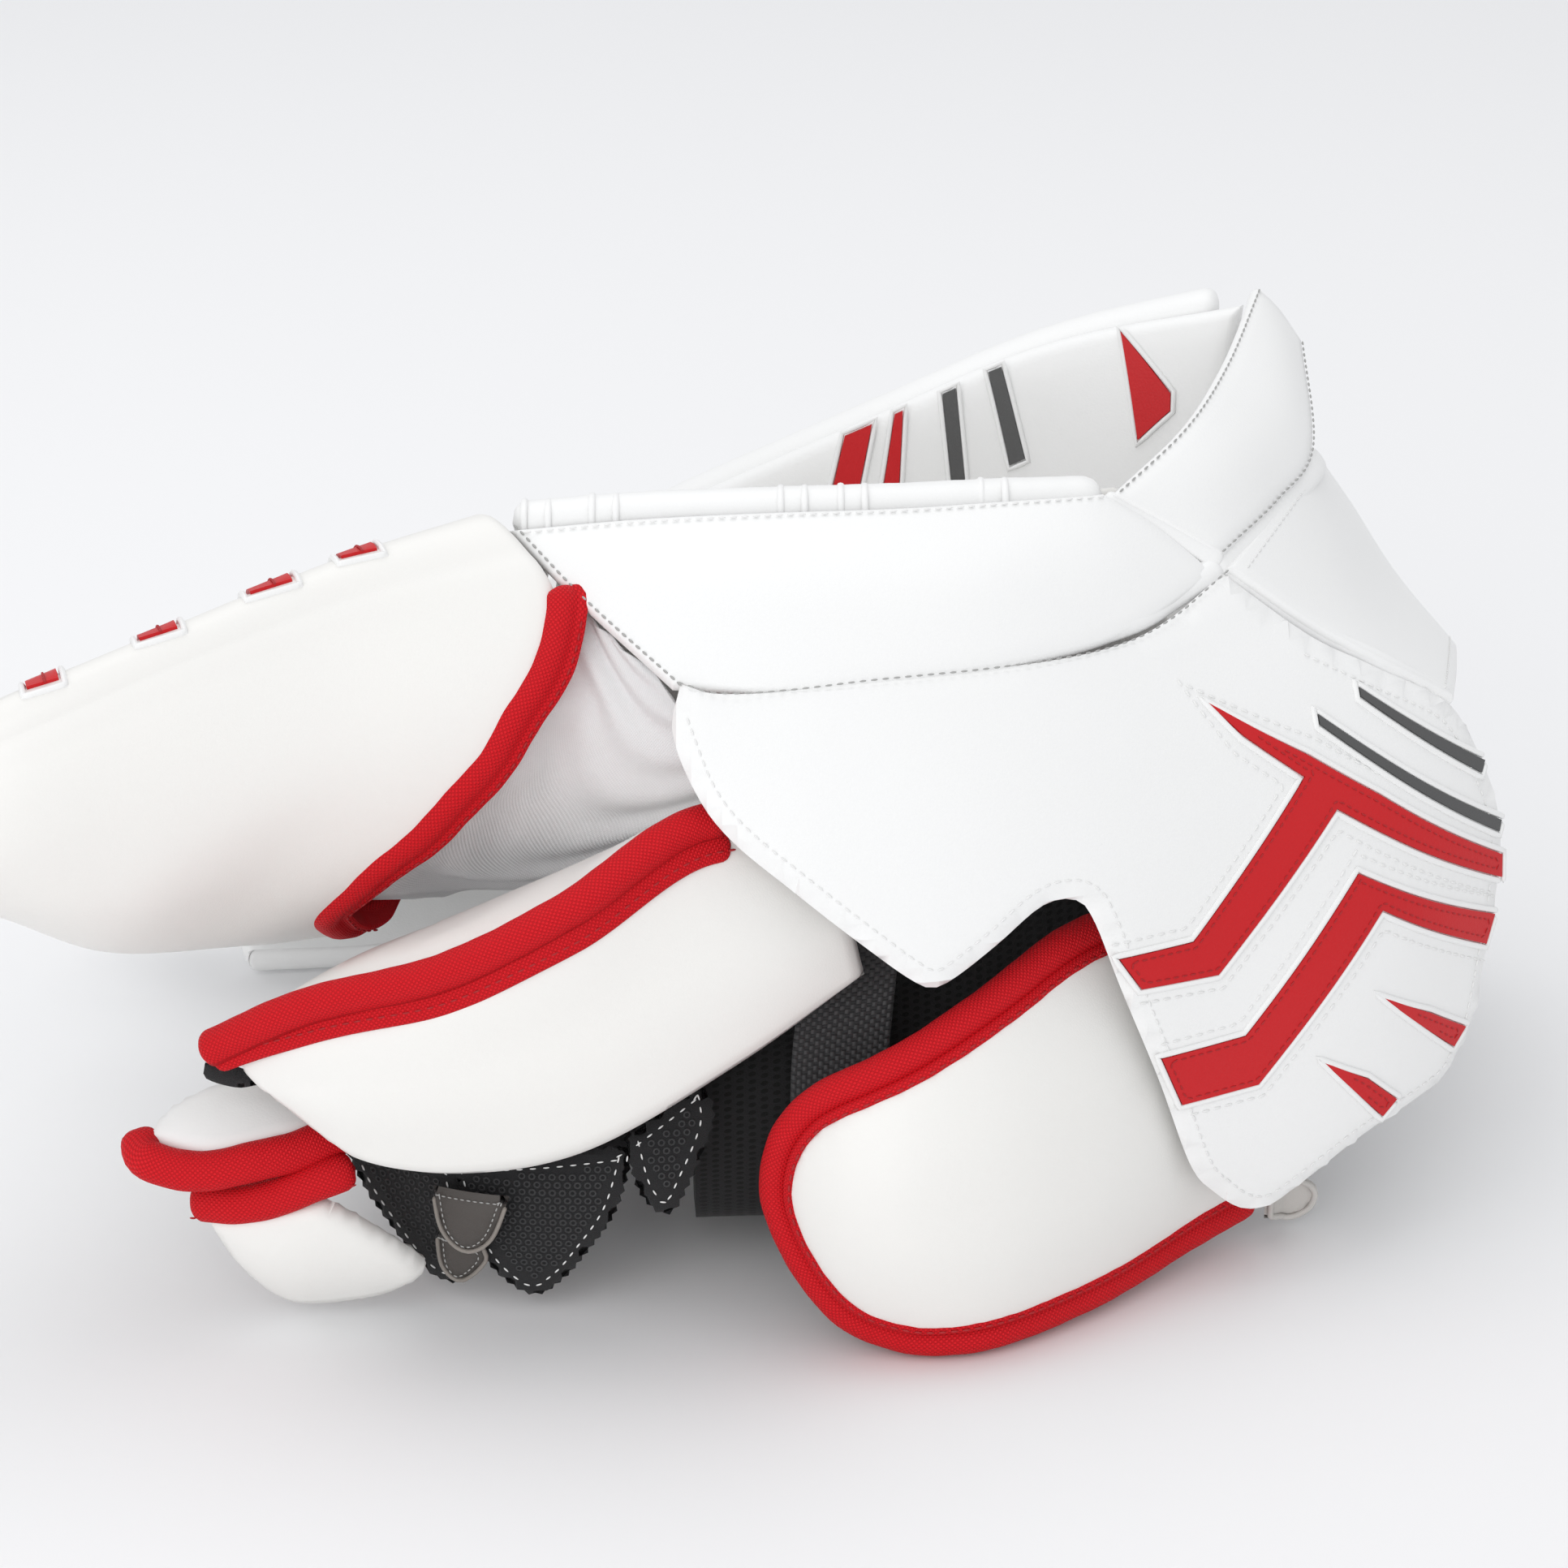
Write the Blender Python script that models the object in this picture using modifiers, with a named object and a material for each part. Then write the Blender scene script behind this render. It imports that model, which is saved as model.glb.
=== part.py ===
"""Ice-hockey goalkeeper's catching glove, lying on the back of the hand.

The fingers and the thumb point to -X, the cuff is at +X, the thumb side faces -Y and the pocket opens
upwards and towards +Y.  Shapes are drawn in millimetres in a drawing frame whose floor is z = 0, and
SHIFT moves that frame so that the row's origin is below the middle of the glove.
"""
import bmesh
import bpy
from mathutils import Vector

# Driving dimensions, in millimetres
SHIFT = (26.0, -133.0, 0.0)      # drawing frame to row frame
GAP = 0.4                        # clearance between neighbours
LEATHER = 1.6                    # a flat overlay of leather
BOARD = 4.0                      # stiff cuff board with its leather
WALL = 5.0                       # pocket walls
FOAM = 9.0                       # soft protective pads
BINDING_R = 5.2                  # rolled edge binding
RIM_R = 5.5                      # rolled pocket rim
HOOD = 6.0                       # thumb hood, foam and skins
STALL_R = 11.0                   # finger stalls
CELL = 14.0                      # size of the cells that a flat pattern is bent in

WHITE = (0.88, 0.88, 0.87)
WARM_WHITE = (0.84, 0.83, 0.81)
RED = (0.62, 0.02, 0.03)
GREY = (0.10, 0.10, 0.10)
BLACK = (0.012, 0.012, 0.013)
TAUPE = (0.15, 0.13, 0.12)
NYLON = (0.80, 0.80, 0.80)

MM = 0.001


# ---------------------------------------------------------------- geometry helpers

def spline(values, t):
    """Catmull-Rom value through evenly spaced values, t from 0 to 1; a list that ends where it
    begins, such as a ring's, is a closed line."""
    last = len(values) - 1
    closed = last > 4 and values[0] == values[last]
    i = min(int(t * last), last - 1)
    f = t * last - i
    p1, p2 = values[i], values[i + 1]
    p0 = values[i - 1] if i > 0 else values[last - 1] if closed else p1 * 2 - p2
    p3 = values[i + 2] if i + 2 <= last else values[1] if closed else p2 * 2 - p1
    return (p1 * 2 + (p2 - p0) * f + (p0 * 2 - p1 * 5 + p2 * 4 - p3) * f ** 2
            + (p1 * 3 - p0 - p2 * 3 + p3) * f ** 3) * 0.5


def loft(rows):
    """Surface through rows of points: u runs along a row, v from the first row to the last."""
    sections = [[Vector(p) for p in row] for row in rows]
    return lambda u, v: spline([spline(row, u) for row in sections], v)


def relief(columns, levels, depths):
    """Surface seen from the front: y is a depth over x and z, which are its two parameters."""
    def at(x, z):
        u = min(max((x - columns[0]) / (columns[1] - columns[0]), 0.0), 1.0)
        v = min(max((z - levels[0]) / (levels[1] - levels[0]), 0.0), 1.0)
        return Vector((x, spline([spline(row, u) for row in depths], v), z))
    return at


def raised(surface, height, step):
    """The same surface moved by height along its outward normal."""
    def at(u, v):
        along = surface(u + step, v) - surface(u - step, v)
        across = surface(u, v + step) - surface(u, v - step)
        return surface(u, v) + along.cross(across).normalized() * height
    return at


def smooth_path(points, per_span=3):
    """Points along a smooth line through the given points."""
    knots = [Vector(p) for p in points]
    count = (len(knots) - 1) * per_span
    return [spline(knots, k / count) for k in range(count + 1)]


def placed(point):
    return (point + Vector(SHIFT)) * MM


def material(name, colour, roughness, metallic=0.0):
    mat = bpy.data.materials.new(name)
    mat.use_nodes = True
    shader = mat.node_tree.nodes["Principled BSDF"]
    shader.inputs["Base Color"].default_value = (*colour, 1.0)
    shader.inputs["Roughness"].default_value = roughness
    shader.inputs["Metallic"].default_value = metallic
    return mat


def add_object(name, data, colour, roughness):
    obj = bpy.data.objects.new(name, data)
    PARTS.objects.link(obj)
    data.materials.append(material(name, colour, roughness))
    return obj


def mesh_from(name, form):
    mesh = bpy.data.meshes.new(name)
    form.to_mesh(mesh)
    form.free()
    mesh.shade_smooth()
    return mesh


def thicken(obj, thickness, offset):
    """Solidify an open sheet; offset -1 grows it inwards, 1 outwards, 0 both ways."""
    solid = obj.modifiers.new("thickness", 'SOLIDIFY')
    solid.thickness = thickness * MM
    solid.offset = offset


def sheet(name, surface, thickness, colour, roughness=0.5, cells=(8, 5), offset=-1,
          span=((0.0, 1.0), (0.0, 1.0))):
    """A whole lofted surface as one panel."""
    form = bmesh.new()
    bmesh.ops.create_grid(form, x_segments=cells[0], y_segments=cells[1], size=0.5)
    (u0, u1), (v0, v1) = span
    for vert in form.verts:
        u = u0 + (u1 - u0) * (vert.co.x + 0.5)
        v = v0 + (v1 - v0) * (vert.co.y + 0.5)
        vert.co = placed(surface(u, v))
    bmesh.ops.remove_doubles(form, verts=form.verts, dist=1e-6)
    obj = add_object(name, mesh_from(name, form), colour, roughness)
    thicken(obj, thickness, offset)
    return obj


def pattern(name, outline, surface, thickness, colour, roughness=0.5, offset=-1, cell=CELL):
    """A panel cut to an outline in the surface's two parameters, then bent onto the surface."""
    form = bmesh.new()
    form.faces.new([form.verts.new((a, b, 0.0)) for a, b in outline])
    for axis in (0, 1):
        normal = Vector((1, 0, 0)) if axis == 0 else Vector((0, 1, 0))
        low = min(p[axis] for p in outline)
        high = max(p[axis] for p in outline)
        cut = (int(low / cell) + 1) * cell if low >= 0 else int(low / cell) * cell
        while cut < high:
            if cut > low:
                everything = form.verts[:] + form.edges[:] + form.faces[:]
                bmesh.ops.bisect_plane(form, geom=everything, plane_co=normal * cut, plane_no=normal)
            cut += cell
    bmesh.ops.triangulate(form, faces=form.faces)
    for vert in form.verts:
        vert.co = placed(surface(vert.co.x, vert.co.y))
    obj = add_object(name, mesh_from(name, form), colour, roughness)
    thicken(obj, thickness, offset)
    return obj


def tube_curve(name, path, radius):
    data = bpy.data.curves.new(name, 'CURVE')
    data.dimensions = '3D'
    data.bevel_depth = radius * MM
    data.bevel_resolution = 2
    data.use_fill_caps = True
    line = data.splines.new('POLY')
    line.points.add(len(path) - 1)
    for knot, point in zip(line.points, path):
        knot.co = (*placed(point), 1.0)
    return data


def tube(name, path, radius, colour, roughness=0.7):
    return add_object(name, tube_curve(name, path, radius), colour, roughness)


def clear_around(path, radius, hosts):
    """Cut the room that a rolled binding takes out of the pads whose edge it wraps."""
    start = path[0] + (path[0] - path[1]).normalized() * 2 * GAP
    end = path[-1] + (path[-1] - path[-2]).normalized() * 2 * GAP
    curve = bpy.data.objects.new("room", tube_curve("room", [start] + path + [end], radius + GAP))
    CUTTERS.objects.link(curve)
    bpy.context.view_layer.update()
    evaluated = curve.evaluated_get(bpy.context.evaluated_depsgraph_get())
    mesh = bpy.data.meshes.new_from_object(evaluated)
    form = bmesh.new()
    form.from_mesh(mesh)
    bmesh.ops.remove_doubles(form, verts=form.verts, dist=1e-6)
    form.to_mesh(mesh)
    form.free()
    bpy.data.objects.remove(curve)
    cut_from(hosts, "binding_room", mesh)


def cut_from(hosts, name, mesh):
    cutter = bpy.data.objects.new(name, mesh)
    CUTTERS.objects.link(cutter)
    cutter.hide_render = True
    cutter.display_type = 'WIRE'
    for host in hosts:
        cut_with(host, cutter)


def cut_with(host, cutter):
    cut = host.modifiers.new(cutter.name, 'BOOLEAN')
    cut.operation = 'DIFFERENCE'
    cut.solver = 'EXACT'
    cut.object = cutter


def clear_of_wing(host):
    """Trim a panel that meets the cuff wing along its top seam."""
    outline = tuple((x, z + GAP if z > 140 else z) for x, z in WING_OUTLINE)
    wing = pattern("wing_room", outline, raised(WING, GAP, 1.0), BOARD + 2 * GAP, WHITE)
    PARTS.objects.unlink(wing)
    CUTTERS.objects.link(wing)
    wing.hide_render = True
    wing.display_type = 'WIRE'
    cut_with(host, wing)


def bound_edge(name, points, radius, hosts, colour=RED, per_span=3):
    path = smooth_path(points, per_span)
    tube(name, path, radius, colour)
    clear_around(path, radius, hosts)


# ---------------------------------------------------------------- shared surfaces

WING = relief((-40, 220), (0, 200), (
    (6, 4, 12, 32, 62, 118),
    (6, 4, 14, 33, 62, 118),
    (4, 2, 14, 38, 70, 128),
    (20, 22, 34, 62, 100, 150),
    (64, 62, 76, 116, 150, 190)))

WING_OUTLINE = (
    (-27, 178), (-29, 168), (-22, 154), (-13, 144), (3, 132), (20, 119), (33, 109), (39, 106), (45, 108),
    (56, 115), (68, 123), (77, 123), (82, 117), (89, 99), (100, 70), (110, 41), (117, 31), (125, 24),
    (133, 23), (141, 27), (160, 37), (182, 43), (187, 48), (192, 57), (196, 77), (199, 95), (199, 108),
    (194, 124), (183, 143), (162, 157), (143, 168), (119, 185), (103, 179), (87, 177), (56, 178),
    (24, 178), (-14, 176))

FLAP = relief((-8, 138), (0, 120), (
    (16, 5, 3, 21, 47, 70),
    (12, -3, 0, 18, 46, 70),
    (20, 5, 9, 29, 56, 80),
    (44, 28, 34, 54, 76, 94)))

HOOD_RINGS = (
    ((-78, 90, 203), (-60, 68, 190), (-73, 50, 160), (-100, 46, 130), (-122, 58, 104), (-108, 84, 93),
     (-86, 104, 122), (-74, 107, 170), (-78, 90, 203)),
    ((-116, 72, 197), (-112, 54, 184), (-118, 40, 158), (-134, 40, 128), (-148, 52, 101), (-142, 80, 92),
     (-130, 98, 118), (-120, 94, 165), (-116, 72, 197)),
    ((-164, 46, 186), (-163, 32, 174), (-165, 24, 150), (-172, 26, 122), (-180, 44, 102), (-178, 72, 98),
     (-174, 86, 120), (-168, 74, 158), (-164, 46, 186)),
    ((-203, 26, 176), (-203, 14, 163), (-205, 10, 145), (-207, 18, 128), (-210, 36, 118), (-210, 60, 112),
     (-208, 68, 128), (-205, 52, 155), (-203, 26, 176)),
    ((-236, 16, 162), (-237, 9, 153), (-238, 7, 143), (-239, 14, 133), (-240, 28, 128), (-240, 42, 126),
     (-239, 48, 136), (-237, 34, 152), (-236, 16, 162)),
    ((-248, 22, 152), (-248, 18, 148), (-248, 17, 144), (-249, 21, 139), (-249, 28, 137), (-249, 34, 137),
     (-249, 36, 142), (-248, 30, 148), (-248, 22, 152)))


# ---------------------------------------------------------------- palm and pocket

def palm_and_pocket():
    side_wall = loft((
        ((-28, 46, 179.5), (0, 44, 178), (30, 48, 179.5), (60, 57, 180), (90, 75, 180.5), (117, 102, 186.5)),
        ((-54, 66, 191), (-20, 63, 194), (14, 65, 195), (48, 71, 195.5), (78, 85, 194.5), (101, 104, 197)),
        ((-73, 85, 204), (-40, 87, 206.5), (-5, 88, 208), (30, 91, 208), (60, 97, 207.5), (86, 104, 206))))
    wall = sheet("side_wall", side_wall, WALL, WHITE, cells=(12, 5))
    clear_of_wing(wall)
    backing = raised(side_wall, -WALL - 1.2, 0.01)
    sheet("side_wall_backing", backing, 3.0, NYLON, 0.8, cells=(10, 4), span=((0.04, 0.96), (0.12, 0.88)))
    rim = ((-72, 95, 201), (-40, 97, 203), (-5, 98, 204), (30, 101, 204), (60, 107, 203), (85, 114, 201))
    tube("side_rim", smooth_path(rim, 4), RIM_R, WHITE, 0.5)
    sheet("heel_panel", loft((
        ((88.5, 106, 205.5), (103.5, 105, 197), (118.5, 104, 188)),
        ((109, 136, 213), (124, 134, 204), (136, 134, 191.5)),
        ((123, 175, 217), (138, 168, 207), (148, 164, 195)),
        ((136, 221, 223), (142, 221, 217), (149, 220, 207)))), WALL, WHITE, cells=(5, 8))
    sheet("palm_face", loft((
        ((-60, 112, 196), (-10, 112, 199), (40, 114, 199), (90, 126, 200)),
        ((-66, 124, 150), (-15, 124, 150), (40, 126, 152), (104, 142, 165)),
        ((-84, 146, 105), (-25, 148, 102), (38, 150, 106), (108, 160, 132)),
        ((-105, 186, 78), (-40, 190, 76), (32, 190, 82), (112, 188, 120)))), WALL, WARM_WHITE, cells=(8, 8))
    sheet("pocket_web", loft((
        ((-170, 90, 140), (-122, 106, 152), (-64, 115, 186)),
        ((-174, 108, 110), (-126, 122, 120), (-71, 127, 150)),
        ((-178, 145, 84), (-132, 150, 90), (-90, 150, 103)),
        ((-168, 192, 58), (-140, 194, 64), (-111, 190, 75)))), 2.0, NYLON, 0.7, cells=(6, 8))
    sheet("gusset", loft((
        ((-98, 88, 98), (-66, 82, 106), (-26, 74, 116)),
        ((-88, 66, 128), (-56, 68, 138), (-20, 60, 142)),
        ((-64, 74, 181), (-50, 70, 178), (-34, 60, 172)))), 2.4, NYLON, 0.8, cells=(6, 6))


def finger_side():
    face = loft((
        ((-168, 208, 40), (-108, 209, 58), (-44, 209, 72), (32, 209, 84), (82, 208, 104), (118, 202, 128)),
        ((-185, 222, 46), (-112, 226, 76), (-48, 228, 102), (28, 226, 128), (78, 226, 152), (124, 214, 172)),
        ((-195, 228, 56), (-112, 236, 100), (-48, 238, 140), (25, 236, 176), (78, 238, 199),
         (131, 226, 215))))
    sheet("finger_wall", face, FOAM, WHITE, cells=(12, 6))
    rim = ((-190, 243, 51), (-112, 250, 95), (-48, 252, 135), (25, 250, 171), (78, 252, 194), (126, 243, 210))
    tube("finger_rim", smooth_path(rim, 4), 4.0, WHITE, 0.5)
    shell = sheet("finger_shell", loft((
        ((96, 218, -5), (30, 220, -5), (-45, 224, -5), (-105, 224, -5), (-160, 220, -3)),
        ((118, 250, 60), (40, 262, 40), (-40, 266, 30), (-108, 260, 22), (-176, 248, 20)),
        ((128, 262, 124), (50, 272, 96), (-42, 274, 70), (-110, 268, 46), (-188, 256, 30)),
        ((134, 252, 188), (60, 264, 170), (-46, 266, 112), (-112, 263, 76), (-196, 254, 38)))),
        FOAM, WHITE, cells=(10, 8))
    floor = bmesh.new()
    bmesh.ops.create_cube(floor, size=0.6)
    for vert in floor.verts:
        vert.co.z -= 0.3
    cut_from([shell], "floor_room", mesh_from("floor_room", floor))
    overlay = raised(face, 0.9, 0.01)
    strips = {
        "wall_red_stripe_1": (((0.55, 0.66), (0.575, 0.66), (0.602, 0.985), (0.578, 0.985)), RED),
        "wall_red_stripe_2": (((0.605, 0.72), (0.622, 0.70), (0.632, 0.985), (0.624, 0.985)), RED),
        "wall_grey_stripe_1": (((0.682, 0.66), (0.697, 0.66), (0.689, 0.98), (0.674, 0.98)), GREY),
        "wall_grey_stripe_2": (((0.752, 0.68), (0.770, 0.68), (0.742, 0.985), (0.727, 0.985)), GREY),
        "wall_wedge": (((0.905, 0.63), (0.94, 0.70), (0.938, 0.755), (0.875, 0.985)), RED)}
    for name, (outline, colour) in strips.items():
        pattern(name, outline, overlay, LEATHER, colour, offset=1, cell=0.08)


# ---------------------------------------------------------------- inner glove

def hand():
    sheet("inner_glove", loft((
        ((112, 90, 30), (112, 74, 62), (112, 84, 100), (112, 120, 122), (112, 160, 112), (112, 192, 84),
         (112, 192, 48), (112, 150, 24), (112, 90, 30)),
        ((70, 74, 16), (70, 56, 44), (70, 66, 80), (70, 104, 98), (70, 150, 92), (70, 188, 68),
         (70, 192, 36), (70, 140, 12), (70, 74, 16)),
        ((26, 60, 12), (26, 48, 38), (26, 58, 74), (26, 96, 90), (26, 146, 86), (26, 184, 62),
         (26, 190, 32), (26, 130, 9), (26, 60, 12)),
        ((-24, 52, 14), (-24, 38, 36), (-24, 52, 64), (-24, 92, 76), (-24, 138, 72), (-24, 174, 54),
         (-24, 180, 32), (-24, 120, 10), (-24, 52, 14)))), 3.0, BLACK, 0.9, cells=(20, 6))
    for k, reach in enumerate((-104, -112, -110, -98)):
        y = 60 + 31 * k
        route = ((-30, y, 38), (-66, y, 36), (reach, y, 30))
        tube(f"finger_stall_{k + 1}", smooth_path(route, 3), STALL_R, BLACK, 0.9)
    near = relief((-120, -10), (0, 80), ((46, 26, 22, 24), (40, 20, 16, 20), (48, 28, 24, 30)))
    panels = (
        ((-117, 44), (-110, 22), (-98, 10), (-86, 8), (-84, 22), (-96, 46)),
        ((-82, 46), (-81, 20), (-68, 6), (-58, 14), (-50, 24), (-42, 50)),
        ((-40, 52), (-38, 40), (-30, 34), (-24, 46), (-18, 62), (-24, 66)))
    for k, outline in enumerate(panels):
        pattern(f"mesh_panel_{k + 1}", outline, near, 2.0, BLACK, 0.9)
    front = raised(near, 1.0, 1.0)
    outer = raised(near, 4.4, 1.0)
    pattern("adjuster_loop_1", ((-91, 42), (-88, 28), (-82, 24), (-76, 30), (-72, 42)), outer, 2.4, TAUPE,
            offset=1)
    pattern("adjuster_loop_2", ((-92, 27), (-91, 14), (-86, 11), (-79, 20), (-80, 24)), front, 2.4, TAUPE,
            offset=1)
    sheet("wrist_strap", loft((
        ((2, 40, 34), (28, 42, 34)),
        ((2, 34, 66), (28, 38, 66)),
        ((4, 38, 90), (30, 42, 92)),
        ((6, 62, 106), (32, 66, 108)))), 2.4, GREY, 0.8, cells=(3, 7))


# ---------------------------------------------------------------- cuff

def cuff():
    pattern("cuff_wing", WING_OUTLINE, WING, BOARD, WHITE)
    inner = raised(WING, -BOARD - GAP, 1.0)
    liner_outline = (
        (-8, 152), (12, 132), (36, 114), (58, 122), (78, 131), (88, 117), (96, 99), (106, 72), (116, 42),
        (130, 30), (158, 43), (180, 50), (189, 78), (192, 106), (176, 138), (158, 149), (140, 160),
        (117, 172), (98, 168), (56, 166), (4, 165))
    pattern("cuff_liner", liner_outline, inner, 2.4, NYLON, 0.85)
    top = sheet("cuff_top", loft((
        ((120, 102, 186), (143, 101, 169.5), (162, 103, 158.5), (184, 110, 144)),
        ((146.5, 160, 191), (155, 158, 176), (169, 156, 154), (190, 150, 134)),
        ((152, 214, 172), (164, 212, 158), (178, 208, 138), (196, 200, 118)),
        ((150, 246, 125), (164, 243, 112), (180, 238, 95), (198, 228, 80)),
        ((146, 250, 70), (162, 248, 60), (180, 243, 50), (198, 232, 40)))), BOARD, WHITE, cells=(6, 14))
    clear_of_wing(top)
    skin = raised(WING, 0.3, 1.0)
    bands = {
        "cuff_band_upper": ((113, 160), (122, 150), (139, 137), (108, 106), (88, 106), (94, 97), (115, 96),
                            (148, 129), (197, 94.5), (197, 100)),
        "cuff_band_lower": ((154, 112), (123, 77), (100, 76), (106, 61), (127, 62), (161, 101), (193, 78),
                            (195, 84)),
        "cuff_wedge_upper": ((161, 78), (184, 53), (187, 56)),
        "cuff_wedge_lower": ((145, 64), (163, 42), (166, 45))}
    for name, outline in bands.items():
        pattern(name, outline, skin, LEATHER, RED, offset=1)
    stripes = {
        "cuff_stripe_lower": ((143, 151), (143.5, 149), (196, 107), (196.5, 109)),
        "cuff_stripe_upper": ((155, 154), (155.5, 152), (191, 124), (191.5, 126))}
    for name, outline in stripes.items():
        pattern(name, outline, skin, LEATHER, GREY, offset=1)


# ---------------------------------------------------------------- thumb

def thumb():
    ring = loft(HOOD_RINGS)
    skin = lambda u, v: ring(v, u)
    hood = sheet("thumb_hood", skin, HOOD, WHITE, cells=(14, 9), offset=0, span=((0.0, 1.0), (0.0, 0.56)))
    face = sheet("thumb_face", skin, HOOD, WARM_WHITE, cells=(12, 7), offset=0,
                 span=((0.0, 0.93), (0.60, 0.96)))
    mouth = [tuple(ring(k / 8, 0)) for k in range(1, 6)]
    bound_edge("thumb_binding", mouth, BINDING_R, [hood, face])
    outside = raised(skin, HOOD / 2 + 0.3, 0.004)
    for k, u in enumerate((0.16, 0.255, 0.37, 0.51)):
        pattern(f"rim_tab_{k + 1}", ((u, 0.90), (u + 0.04, 0.90), (u + 0.04, 0.955), (u, 0.955)),
                outside, LEATHER, RED, offset=1, cell=0.02)


# ---------------------------------------------------------------- loose protective pads

def wrist_flap():
    edge = ((128, 15), (110, 12), (92, 9), (64, 7), (44, 6.2), (32, 7), (19, 12), (9, 23), (1, 38), (-1, 50),
            (3, 64), (14, 76), (38, 88), (56, 96), (72, 102), (86, 104))
    pad = pattern("wrist_flap", ((128, 50), (108, 94)) + tuple(reversed(edge)), FLAP, FOAM, WHITE, offset=0)
    bound_edge("wrist_flap_binding", [tuple(FLAP(x, z)) for x, z in edge], BINDING_R, [pad], per_span=2)
    tab = ((133, 16), (133, 5), (140, 3), (146, 6), (148, 11), (146, 15), (140, 17))
    pattern("wrist_flap_tab", tab, FLAP, 2.4, TAUPE, offset=0)


def backhand_pad():
    surface = loft((
        ((-133, 5, 74), (-112, 1, 58), (-84, 1, 53), (-50, 4, 59), (-10, 14, 80), (22, 24, 101)),
        ((-144, 6, 80), (-118, 0, 80), (-86, 0, 84), (-52, 5, 95), (-14, 16, 112), (18, 26, 120)),
        ((-152, 12, 85), (-124, 9, 101), (-88, 8, 112), (-56, 12, 128), (-22, 32, 143), (14, 38, 136)),
        ((-150, 26, 82), (-118, 42, 97), (-88, 50, 108), (-57, 54, 120), (-22, 58, 130), (12, 60, 130))))
    pad = sheet("backhand_pad", surface, 8.0, WHITE, cells=(12, 9))
    ridge = [surface(k / 12, 0.64) + Vector((0, -2.5, 2.5)) for k in range(11)]
    bound_edge("backhand_piping", ridge, 4.6, [pad], per_span=1)
    sheet("backhand_backing", raised(surface, -9.4, 0.01), 2.0, BLACK, 0.9, cells=(8, 3),
          span=((0.22, 0.86), (0.06, 0.36)))


def finger_pad():
    upper = sheet("finger_pad_upper", loft((
        ((-170, 18, 54), (-151, 10, 53), (-133, 13, 56), (-110, 22, 57)),
        ((-167, 32, 60), (-148, 36, 63), (-130, 38, 64), (-110, 42, 62)))), 8.0, WHITE, cells=(6, 4),
        offset=0)
    edge_a = ((-171, 22, 55), (-168, 13, 52), (-151, 8, 52), (-133, 11, 55), (-118, 18, 57), (-108, 22, 57))
    bound_edge("finger_pad_binding_upper", edge_a, 4.8, [upper])
    lower = sheet("finger_pad_lower", loft((
        ((-140, 24, 9), (-129, 24, 5), (-112, 23, 7), (-97, 21, 13)),
        ((-148, 16, 24), (-134, 13, 23), (-114, 14, 25), (-96, 17, 25)),
        ((-155, 14, 38), (-140, 11, 40), (-122, 11, 44), (-104, 14, 47)))), 8.0, WHITE, cells=(6, 5),
        offset=0)
    edge_b = ((-157, 15, 38), (-146, 11, 39), (-134, 10, 41.5), (-120, 10, 45), (-103, 13, 48))
    bound_edge("finger_pad_binding_lower", edge_b, 4.2, [lower])


# ---------------------------------------------------------------- build

def new_collection(name):
    group = bpy.data.collections.new(name)
    bpy.context.scene.collection.children.link(group)
    return group


for old in list(bpy.data.objects):
    bpy.data.objects.remove(old)
PARTS = new_collection("hockey_catching_glove")
CUTTERS = new_collection("cutters")
palm_and_pocket()
finger_side()
hand()
cuff()
thumb()
wrist_flap()
backhand_pad()
finger_pad()
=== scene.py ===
import math

import bmesh
import bpy
import numpy as np
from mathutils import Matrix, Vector


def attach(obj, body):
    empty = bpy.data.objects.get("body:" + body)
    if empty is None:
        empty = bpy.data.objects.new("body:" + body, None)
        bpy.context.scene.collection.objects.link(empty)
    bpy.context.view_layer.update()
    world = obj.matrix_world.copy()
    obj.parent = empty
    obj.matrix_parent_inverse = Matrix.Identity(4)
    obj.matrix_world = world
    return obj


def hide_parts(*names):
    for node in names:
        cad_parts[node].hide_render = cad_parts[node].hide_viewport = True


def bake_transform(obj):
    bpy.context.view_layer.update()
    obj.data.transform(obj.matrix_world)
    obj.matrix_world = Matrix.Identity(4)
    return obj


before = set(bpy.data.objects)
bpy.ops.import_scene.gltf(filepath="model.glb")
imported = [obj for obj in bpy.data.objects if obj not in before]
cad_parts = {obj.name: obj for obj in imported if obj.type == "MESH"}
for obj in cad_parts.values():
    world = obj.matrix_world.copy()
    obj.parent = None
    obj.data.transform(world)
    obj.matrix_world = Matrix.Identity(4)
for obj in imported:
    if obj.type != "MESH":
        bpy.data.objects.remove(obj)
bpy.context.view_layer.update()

# The glove is drawn in millimetres in the frame that its patterns were cut in; SHIFT is the way from
# there to the row frame.
SHIFT = np.array((26.0, -133.0, 0.0))
MM = 0.001

BOARD = 4.0                # stiff cuff board
WALL = 5.0                 # pocket wall panels
FOAM = 9.0                 # protective pads
HOOD = 6.0                 # thumb hood
RIM_R = 5.5                # rolled rim of the pocket
PITCH = 4.0                # size of a mesh cell on a panel
RIDGE = (0.9, 0.7, 8)      # half-width, half-height and sides of a thin raised edge

LOFT_STEP = 0.01           # steps over which a surface's normals are taken
RELIEF_STEP = 1.0
HOOD_STEP = 0.004
TINY = 1e-9

THIN_SHARP = 40            # degrees between two faces that make a sharp edge, on thin and on padded pieces
PADDED_SHARP = 75

PALM, THUMB, WRIST, BACKHAND, FINGER = "palm", "thumb", "wrist_guard", "backhand_guard", "finger_guard"


# ================================================================ surfaces

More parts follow.
